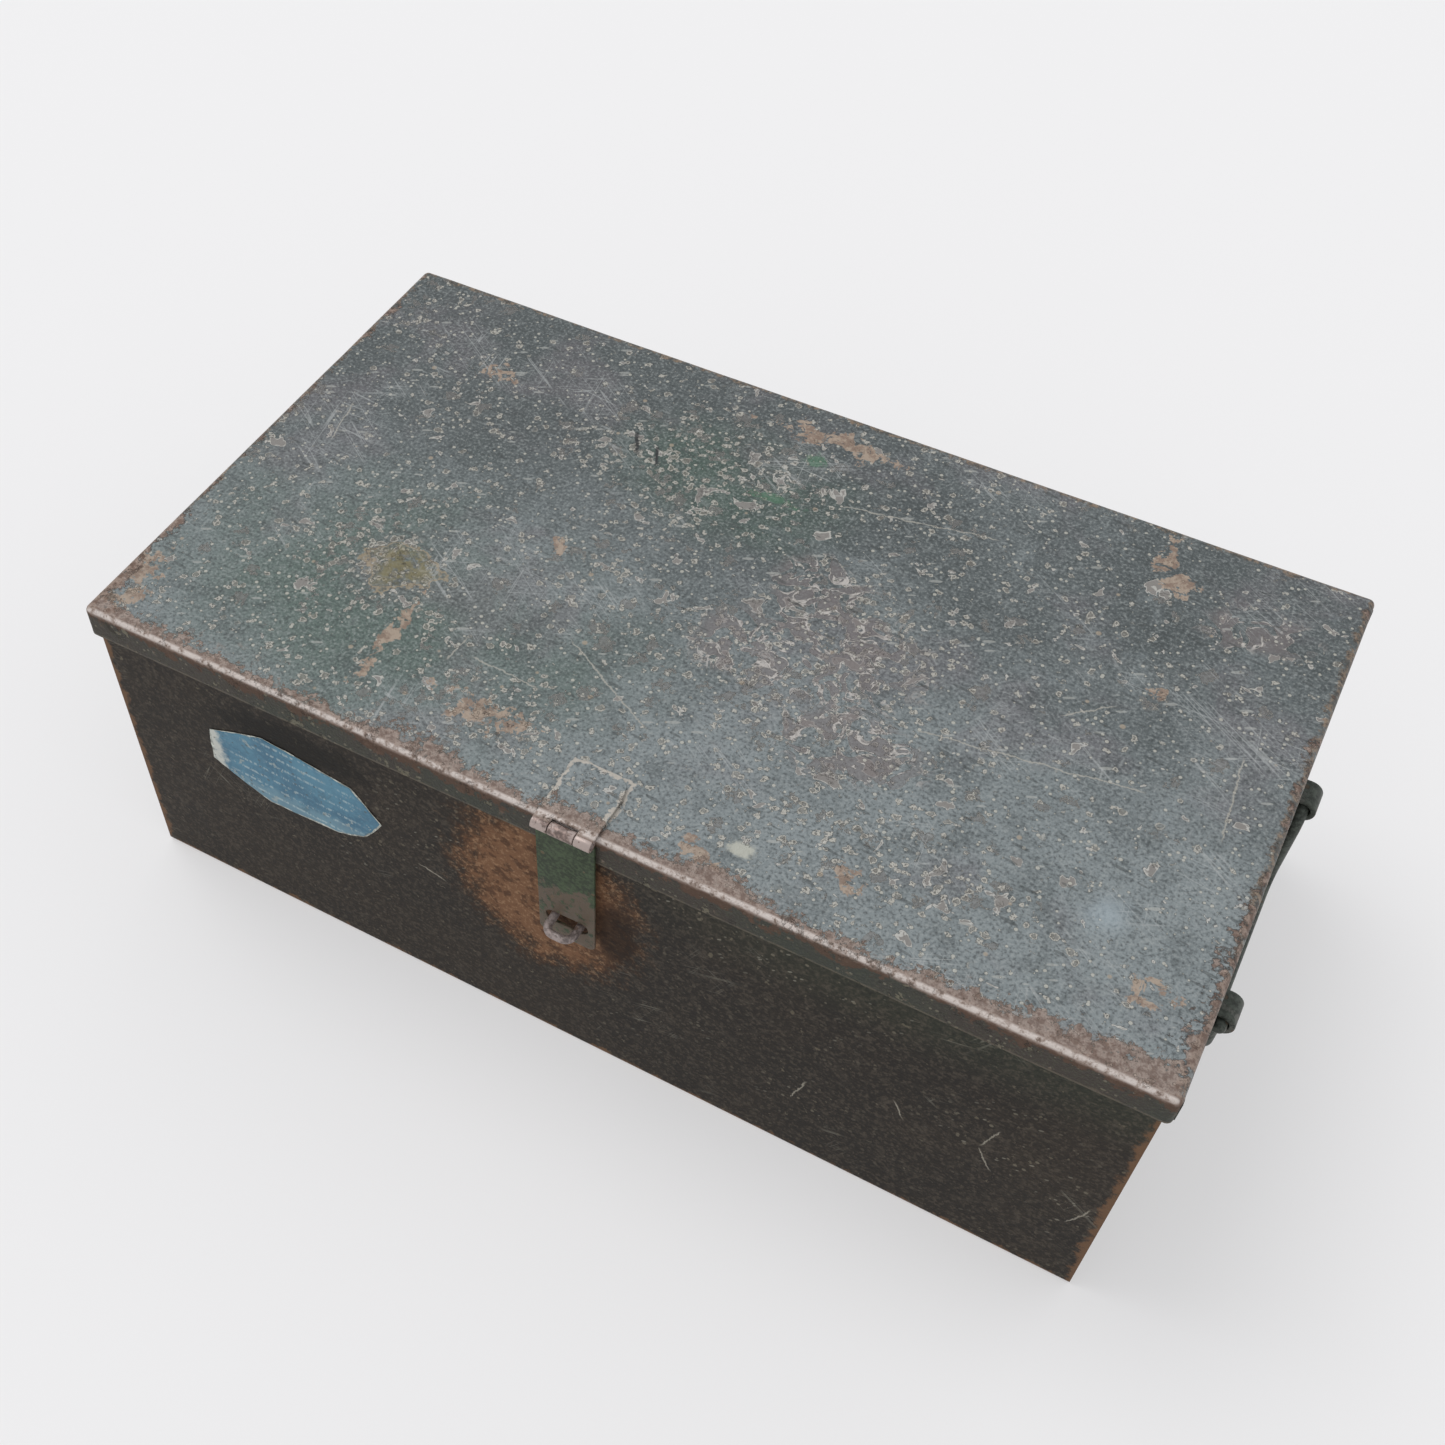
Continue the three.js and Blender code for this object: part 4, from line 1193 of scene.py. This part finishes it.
slot_of = {row["node"]: row["material_slot"] for row in frame["record"]["subparts"]}
for node, slot in slot_of.items():
    obj = bpy.data.objects[node]
    for index in range(len(obj.data.materials)):
        obj.data.materials[index] = SLOT_PAINT.get(slot, bare_steel)
    if node in kept_bevel:
        edge = obj.modifiers.new("sheared edge", "BEVEL")
        edge.width = kept_bevel[node]
        edge.segments = 2
        edge.limit_method = "ANGLE"
        edge.angle_limit = math.radians(40)
        edge.use_clamp_overlap = True
        obj.data.set_sharp_from_angle(angle=math.radians(35))
print("bevelled sheets:", len(kept_bevel))

# %% [markdown]
# ## The hasp: strap, leaf and hinge
# The strap was blanked from plate with a slot punched near its end, and its upper end is rolled
# round the pin. The roll is bare, because it turns against its leaf each time it is opened. The
# leaf lies on the lid under the same paint, and ends in two knuckles that take the pin.

# %% Hasp sizes
PLATE = 0.0016
PLATE_EDGE = 0.0004
ROLL, ROLL_HALF, ROLL_BORE = 0.0034, 0.0070, 0.0018
KNUCKLE_GAP = 0.0004
strap_low, strap_high = ends("hasp_strap")
pin_mid = sum(ends("hasp_pin"), Vector()) / 2
stem_low, stem_high = ends("hasp_staple")
staple_z = (stem_low.z + stem_high.z) / 2
strap_x = (strap_low.x + strap_high.x) / 2
strap_half = (strap_high.x - strap_low.x) / 2
strap_left, strap_right = strap_x - strap_half, strap_x + strap_half
strap_top = pin_mid.z - ROLL - KNUCKLE_GAP
print("strap:", [round(v, 4) for v in (strap_low.z, strap_top, staple_z)])

# %% Strap
STRAP_CORNER = 0.004
SLOT_HALF, SLOT_TALL = 0.0125, 0.0045
NECK = 0.0026


def strap_outline():
    """The blank with its rounded tip, the neck that runs into the roll, and the slot."""
    low, r = strap_low.z, STRAP_CORNER
    points = arc((strap_left + r, low + r), r, 180, 270, 8)
    points += arc((strap_right - r, low + r), r, 270, 360, 8)
    points += [(strap_right, strap_top), (strap_x + ROLL_HALF, strap_top)]
    points += [(strap_x + ROLL_HALF, strap_top + NECK), (strap_x - ROLL_HALF, strap_top + NECK)]
    points += [(strap_x - ROLL_HALF, strap_top), (strap_left, strap_top)]
    hole = arc((strap_x - SLOT_HALF + SLOT_TALL, staple_z), SLOT_TALL, 90, 270, 10)
    hole += arc((strap_x + SLOT_HALF - SLOT_TALL, staple_z), SLOT_TALL, 270, 450, 10)
    return [points, hole]


strap_plane = facing((1, 0, 0), (0, 0, 1), (0, strap_high.y - PLATE / 2, 0))
strap_mesh = pulled(strap_outline(), PLATE, strap_plane, PLATE_EDGE)
settle("hasp_strap_blank", strap_mesh, green_paint, "hasp", ["hasp_strap"])
print("strap blank:", len(strap_mesh.polygons), "faces")

# %% Roll
LIP = 0.0005


def barrel(start, stop):
    """A tube about the hasp's pin, with softly rounded ends."""
    long = stop - start
    profile = [
        (ROLL_BORE, 0), (ROLL - LIP, 0), (ROLL - LIP * 0.3, LIP * 0.3), (ROLL, LIP),
        (ROLL, long - LIP), (ROLL - LIP * 0.3, long - LIP * 0.3), (ROLL - LIP, long),
        (ROLL_BORE, long), (ROLL_BORE, 0),
    ]
    return turned(profile, (start, pin_mid.y, pin_mid.z), (1, 0, 0), 32)


roll_mesh = barrel(strap_x - ROLL_HALF, strap_x + ROLL_HALF)
settle("hasp_strap_roll", roll_mesh, roll_steel, "hasp")
print("roll:", len(roll_mesh.polygons), "faces")

# %% Leaf with its two knuckles
window = ROLL_HALF + KNUCKLE_GAP


def leaf_outline():
    """The leaf, notched in front for the roll and cut off unevenly at its back corners."""
    front, back = pin_mid.y, leaf_high.y
    notch = pin_mid.y + ROLL + KNUCKLE_GAP
    points = [(strap_left, front), (strap_x - window, front), (strap_x - window, notch)]
    points += [(strap_x + window, notch), (strap_x + window, front), (strap_right, front)]
    points += [(strap_right, back - 0.012), (strap_right - 0.002, back - 0.004)]
    points += [(strap_right - 0.007, back), (strap_left + 0.006, back)]
    return points + [(strap_left + 0.002, back - 0.003), (strap_left, back - 0.012)]


leaf_plane = facing((1, 0, 0), (0, 1, 0), (0, 0, leaf_high.z - PLATE / 2))
leaf_mesh = pulled([leaf_outline()], PLATE, leaf_plane, PLATE_EDGE)
settle("hasp_leaf_blank", leaf_mesh, lid_paint, "lid", ["hasp_leaf"])
knuckles = [barrel(strap_left, strap_x - window), barrel(strap_x + window, strap_right)]
settle("hasp_knuckles", joined(knuckles), roll_steel, "lid")
print("knuckles:", len(knuckles))

# %% [markdown]
# ## Round bar: staple, drop handles and tray bails
# All of these were cut from round stock and bent cold, so each is a run of straight bar with
# true round bends and sheared ends. The staple is a loop of wire, riveted through the front.

# %% Staple
WIRE, WIRE_BEND = 0.0023, 0.0052


def staple_mesh():
    left, right = stem_low.x + WIRE, stem_high.x - WIRE
    front, back = stem_low.y + WIRE, stem_high.y
    corners = [(left, back), (left, front), (right, front), (right, back)]
    path = bent_path([(x, y, staple_z) for x, y in corners], WIRE_BEND, 12)
    return bar(path, WIRE, (0, 0, 1), 24)


settle("staple_wire", staple_mesh(), bare_steel, "box_body", ["hasp_staple"])

# %% Handles and bails
# For each kind of drop handle: its node's and its own name, radius of the bar, bend, half the
# distance between its legs, steps in a bend, sides of the bar, and finish.
DROPS = [
    ("handle", "bar_handle", 0.004, 0.011, 0.0597, 10, 28, "dark_steel"),
    ("tray_bail", "wire_bail", 0.002, 0.0055, 0.0495, 8, 18, "bare_steel"),
]


def drop_mesh(node, radius, bend, leg, steps, sides):
    """Two short pivots, two legs and a grip, hanging in the plane of the node."""
    low, high = ends(node)
    x = (low.x + high.x) / 2
    y_mid = (low.y + high.y) / 2
    top, grip = high.z - radius, low.z + radius
    outline = [
        (low.y, top), (y_mid - leg, top), (y_mid - leg, grip),
        (y_mid + leg, grip), (y_mid + leg, top), (high.y, top),
    ]
    return bar(bent_path([(x, y, z) for y, z in outline], bend, steps), radius, (1, 0, 0), sides)


for kind, own_name, *sizes, finish in DROPS:
    for side in SIDES:
        node = f"{kind}_{side}"
        settle(f"{own_name}_{side}", drop_mesh(node, *sizes), SLOT_PAINT[finish], node, [node])
    print(kind, "bars:", len(SIDES))

# %% [markdown]
# ## Handle brackets
# Each bracket is a strap pressed into a hat shape over the bar, with a rivet through each
# flange. The hat leaves the bar free to turn in its crown.

# %% Brackets
STRAP_THICK = 0.003
BRACKET_BORE, BRACKET_FOOT, BRACKET_EDGE = 0.0047, 0.0022, 0.0006


def bracket_outline(reach, half):
    """The hat in section, from its upper flange over the outside and back along the inside."""
    t, foot, bore = STRAP_THICK, BRACKET_FOOT, BRACKET_BORE
    outer = bore + t
    crown = (reach - outer, 0)
    inner = foot + t * 0.4
    points = [(0, half), (t, half), (t, outer + foot)]
    points += arc((t + foot, outer + foot), foot, 180, 270, 6)
    points += arc(crown, outer, 90, -90, 20)
    points += arc((t + foot, -outer - foot), foot, 90, 180, 6)
    points += [(t, -outer - foot), (t, -half), (0, -half), (0, -bore - inner)]
    points += arc((inner, -bore - inner), inner, 180, 90, 6)
    points += arc(crown, bore, -90, 90, 20)
    return points + arc((inner, bore + inner), inner, 270, 180, 6)


for side in SIDES:
    for end in ("front", "rear"):
        node = f"handle_bracket_{side}_{end}"
        low, high = ends(node)
        outward, wall = (1, low.x) if side == "right" else (-1, high.x)
        outline = bracket_outline(high.x - low.x, (high.z - low.z) / 2)
        place = facing((outward, 0, 0), (0, 0, 1), (wall, (low.y + high.y) / 2, (low.z + high.z) / 2))
        mesh = pulled([outline], high.y - low.y, place, BRACKET_EDGE)
        settle(f"strap_{node}", mesh, dark_steel, "box_body", [node])
print("brackets made")

# %% [markdown]
# ## Rivets
# Every rivet has a low domed head outside and a short set tail inside. They all come from one
# turned profile, read off each node's own box, so they stay exactly where the holes are. Those
# of the hasp leaf were hammered almost flush and painted over.

# %% Rivets
RIVET_AXES = {
    "handle_rivet_left": (-1, 0, 0), "handle_rivet_right": (1, 0, 0), "rail_rivet_left": (-1, 0, 0),
    "rail_rivet_right": (1, 0, 0), "hinge_lid_rivet": (0, 1, 0), "hinge_body_rivet": (0, 1, 0),
    "hasp_rivet": (0, 0, 1),
}
HEAD, SHANK, CROWN, FLUSH_CROWN = 0.004, 0.002, 0.0017, 0.0004
TAIL_HEAD, TAIL = 0.0035, 0.001


def rivet_profile(crown, long):
    """Half a rivet, from the top of its dome down to the end of its tail."""
    turns = [math.pi / 2 * i / 8 for i in range(1, 9)]
    profile = [(0, 0)] + [(HEAD * math.sin(a), -crown * (1 - math.cos(a))) for a in turns]
    profile += [(HEAD * 0.97, -crown - 0.00001), (SHANK, -crown - 0.00002)]
    profile += [(SHANK, -long + TAIL), (TAIL_HEAD * 0.9, -long + TAIL)]
    return profile + [(TAIL_HEAD, -long + TAIL * 0.5), (TAIL_HEAD * 0.9, -long + TAIL * 0.1), (0, -long)]


def rivet_mesh(node, axis, flush):
    low, high = ends(node)
    direction = Vector(axis)
    k = max(range(3), key=lambda n: abs(direction[n]))
    tip, root = (high[k], low[k]) if direction[k] > 0 else (low[k], high[k])
    crown = FLUSH_CROWN if flush else CROWN
    if flush:
        tip = leaf_high.z + crown
    start = (low + high) / 2
    start[k] = tip
    return turned(rivet_profile(crown, abs(tip - root)), start, direction, 24)


made = []
for node, slot in slot_of.items():
    kind = next((k for k in RIVET_AXES if node.startswith(k)), None)
    if kind is not None:
        mesh = rivet_mesh(node, RIVET_AXES[kind], kind == "hasp_rivet")
        body = frame["nodes"][node]["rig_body"]
        made.append(settle(f"set_{node}", mesh, SLOT_PAINT[slot], body, [node]))
print("rivets:", len(made))

# %% [markdown]
# ## The label
# A paper label was pasted on the front and has torn to a ragged blue scrap. Its edges curl,
# show white fibre where the print layer tore, and hold a little dirt above. The scrap is a
# fine grid cut to the torn outline, lifted into creases by a noise. A second, paler scrap lies
# just behind it and shows round its edge.

# %% Torn edge
label_low, label_high = ends("label")
# The scrap's outline along the front and up it.
TORN = [
    (-0.2330, 0.147), (-0.2345, 0.133), (-0.2360, 0.120), (-0.2180, 0.110), (-0.1990, 0.101),
    (-0.1750, 0.1018), (-0.1520, 0.103), (-0.1420, 0.1065), (-0.1330, 0.111), (-0.1260, 0.120),
    (-0.1200, 0.131), (-0.1290, 0.143), (-0.1370, 0.153), (-0.1540, 0.156), (-0.1710, 0.159),
    (-0.1830, 0.1605), (-0.1950, 0.162), (-0.2140, 0.155),
]
TEAR_STEPS = 6
GRID = 0.0016


def frayed(points, size, seed):
    """Each side split and nudged inward by a noise, for a torn edge."""
    mid = Vector((sum(a for a, b in points), sum(b for a, b in points))) / len(points)
    out = []
    for (a0, b0), (a1, b1) in zip(points, points[1:] + points[:1]):
        for i in range(TEAR_STEPS):
            t = i / TEAR_STEPS
            at = Vector((a0 + (a1 - a0) * t, b0 + (b1 - b0) * t))
            wild = noise.noise(Vector((at.x * 260, at.y * 260, seed)))
            coarse = noise.noise(Vector((at.x * 70, at.y * 70, seed + 5)))
            inward = (mid - at).normalized()
            out.append(tuple(at + inward * size * (1 + wild * 0.6 + coarse)))
    return out


def within(a, b, edge):
    """Whether a grid point lies inside the torn edge and not too near its points."""
    inside = False
    for (a0, b0), (a1, b1) in zip(edge, edge[1:] + edge[:1]):
        if (b0 > b) != (b1 > b) and a < a0 + (b - b0) * (a1 - a0) / (b1 - b0):
            inside = not inside
    near = min((a - p[0]) ** 2 + (b - p[1]) ** 2 for p in edge)
    return inside and near > (GRID * 0.55) ** 2


# %% Creased scrap


def creased(a, b):
    """How far the paper stands off the front panel."""
    fold = noise.noise(Vector((a * 34, b * 62, 1.0)))
    crease = abs(noise.noise(Vector((a * 22, b * 40, 7.0))))
    return 0.00012 + 0.00030 * (0.5 + 0.5 * fold) - 0.0004 * max(0.0, 0.10 - crease)


def label_mesh(loss, seed, deeper):
    edge = frayed(TORN, loss, seed)
    columns = range(1, int((label_high.x - label_low.x) / GRID))
    rows = range(1, int((label_high.z - label_low.z) / GRID))
    grid = [(label_low.x + i * GRID, label_low.z + k * GRID) for i in columns for k in rows]
    points = [Vector(p) for p in edge + [p for p in grid if within(*p, edge)]]
    ring = [(i, (i + 1) % len(edge)) for i in range(len(edge))]
    flat, _, faces, *_ = delaunay_2d_cdt(points, ring, [], 1, 1e-7)
    built = bmesh.new()
    verts = [built.verts.new((v.x, label_high.y - (creased(v.x, v.y) - deeper), v.y)) for v in flat]
    for face in faces:
        built.faces.new([verts[i] for i in face])
    bmesh.ops.recalc_face_normals(built, faces=built.faces)
    built.normal_update()
    if sum(f.normal.y for f in built.faces) > 0:
        bmesh.ops.reverse_faces(built, faces=built.faces)
    return mesh_of(built, "label", 60)


# %% Label paper: colours
INK_BLUE, INK_LIGHT, INK_FADED = shade(50, 98, 122), shade(74, 124, 146), shade(98, 148, 168)
LOWER_PALE, TORN_WHITE, PRINT_PALE = shade(120, 150, 160), shade(196, 196, 186), shade(176, 190, 190)
SCUFF, GRIME, SPECK = shade(150, 160, 158), shade(52, 88, 104), shade(70, 74, 72)
ROWS_PER_METRE, ROW_TILT = 128, 0.06
# Where along the front the print lies, and where the scrap turns white and pale.
PRINT_MIDDLE = -0.178
WHITE_FROM, WHITE_TO = -0.2240, -0.2300
PALE_FROM, PALE_TO = 0.118, 0.112
PAPER_RELIEF = 0.00015


def printed_rows(p, ragged):
    """Broken pale dashes in rows, standing in for worn print; they say nothing."""
    tilted = p.add(p.add(p.z, p.times(p.x, ROW_TILT)), p.sway(ragged, 0.0012))
    row = p.calc("FRACT", p.times(tilted, ROWS_PER_METRE))
    inked = p.times(p.fade(row, 0.34, 0.42), p.fade(row, 0.66, 0.58))
    dashes = p.node("ShaderNodeMapping", Vector=p.here, Scale=(430, 1, ROWS_PER_METRE)).outputs[0]
    inked = p.times(inked, p.fade(p.mist(1.0, 4, 0.7, at=dashes), 0.47, 0.53))
    inked = p.times(inked, p.fade(p.mist(40, 3, 0.6), 0.40, 0.50))
    return p.times(inked, p.fade(p.size(p.less(p.x, PRINT_MIDDLE)), 0.050, 0.034))


# %% Label paper
def make_label_paint():
    p = Paint("label_paper")
    fine = p.mist(500, 3, 0.6)
    ragged = p.mist(110, 6, 0.7)
    p.colour = p.blend(p.fade(p.mist(30, 4, 0.6), 0.38, 0.62), INK_BLUE, INK_LIGHT)
    p.lay(INK_FADED, p.fade(fine, 0.45, 0.7), 0.3)
    p.lay(LOWER_PALE, p.fade(p.add(p.z, p.sway(ragged, 0.02)), PALE_FROM, PALE_TO), 0.45)
    p.lay(TORN_WHITE, p.fade(p.add(p.x, p.sway(ragged, 0.020)), WHITE_FROM, WHITE_TO), 0.9)
    p.lay(PRINT_PALE, printed_rows(p, ragged), 0.55)
    scuffs = p.fade(ragged, 0.600, 0.625)
    p.lay(SCUFF, scuffs, 0.75)
    p.lay(GRIME, p.fade(p.mist(60, 6, 0.7, 0.6), 0.56, 0.64), 0.5)
    p.lay(SPECK, dots(p, 300, 0.30, 0.30), 0.6)
    p.dents(p.weighed((fine, 0.4), (scuffs, -0.6)), PAPER_RELIEF)
    return p.finish(p.add(0.55, p.sway(fine, 0.2)))


label_paint = make_label_paint()
pulp = worn_paint(
    "label_pulp", shade(168, 170, 162), shade(134, 136, 128), shade(110, 96, 80), wear=0.56, rough=0.8
)
PAPER = 0.00010
# Each layer: how much the tear took, its seed, how much nearer the panel it lies, its finish,
# and the node it stands for.
LAYERS = {
    "label_print": (0.0015, 2.0, 0.0, label_paint, ["label"]),
    "label_backing": (0.0006, 4.0, 0.00012, pulp, []),
}
for name, (loss, seed, deeper, finish, hides) in LAYERS.items():
    layer = settle(name, label_mesh(loss, seed, deeper), finish, "box_body", hides)
    thickness = layer.modifiers.new("paper", "SOLIDIFY")
    thickness.thickness = PAPER
    thickness.offset = -1
print("label layers:", len(LAYERS))
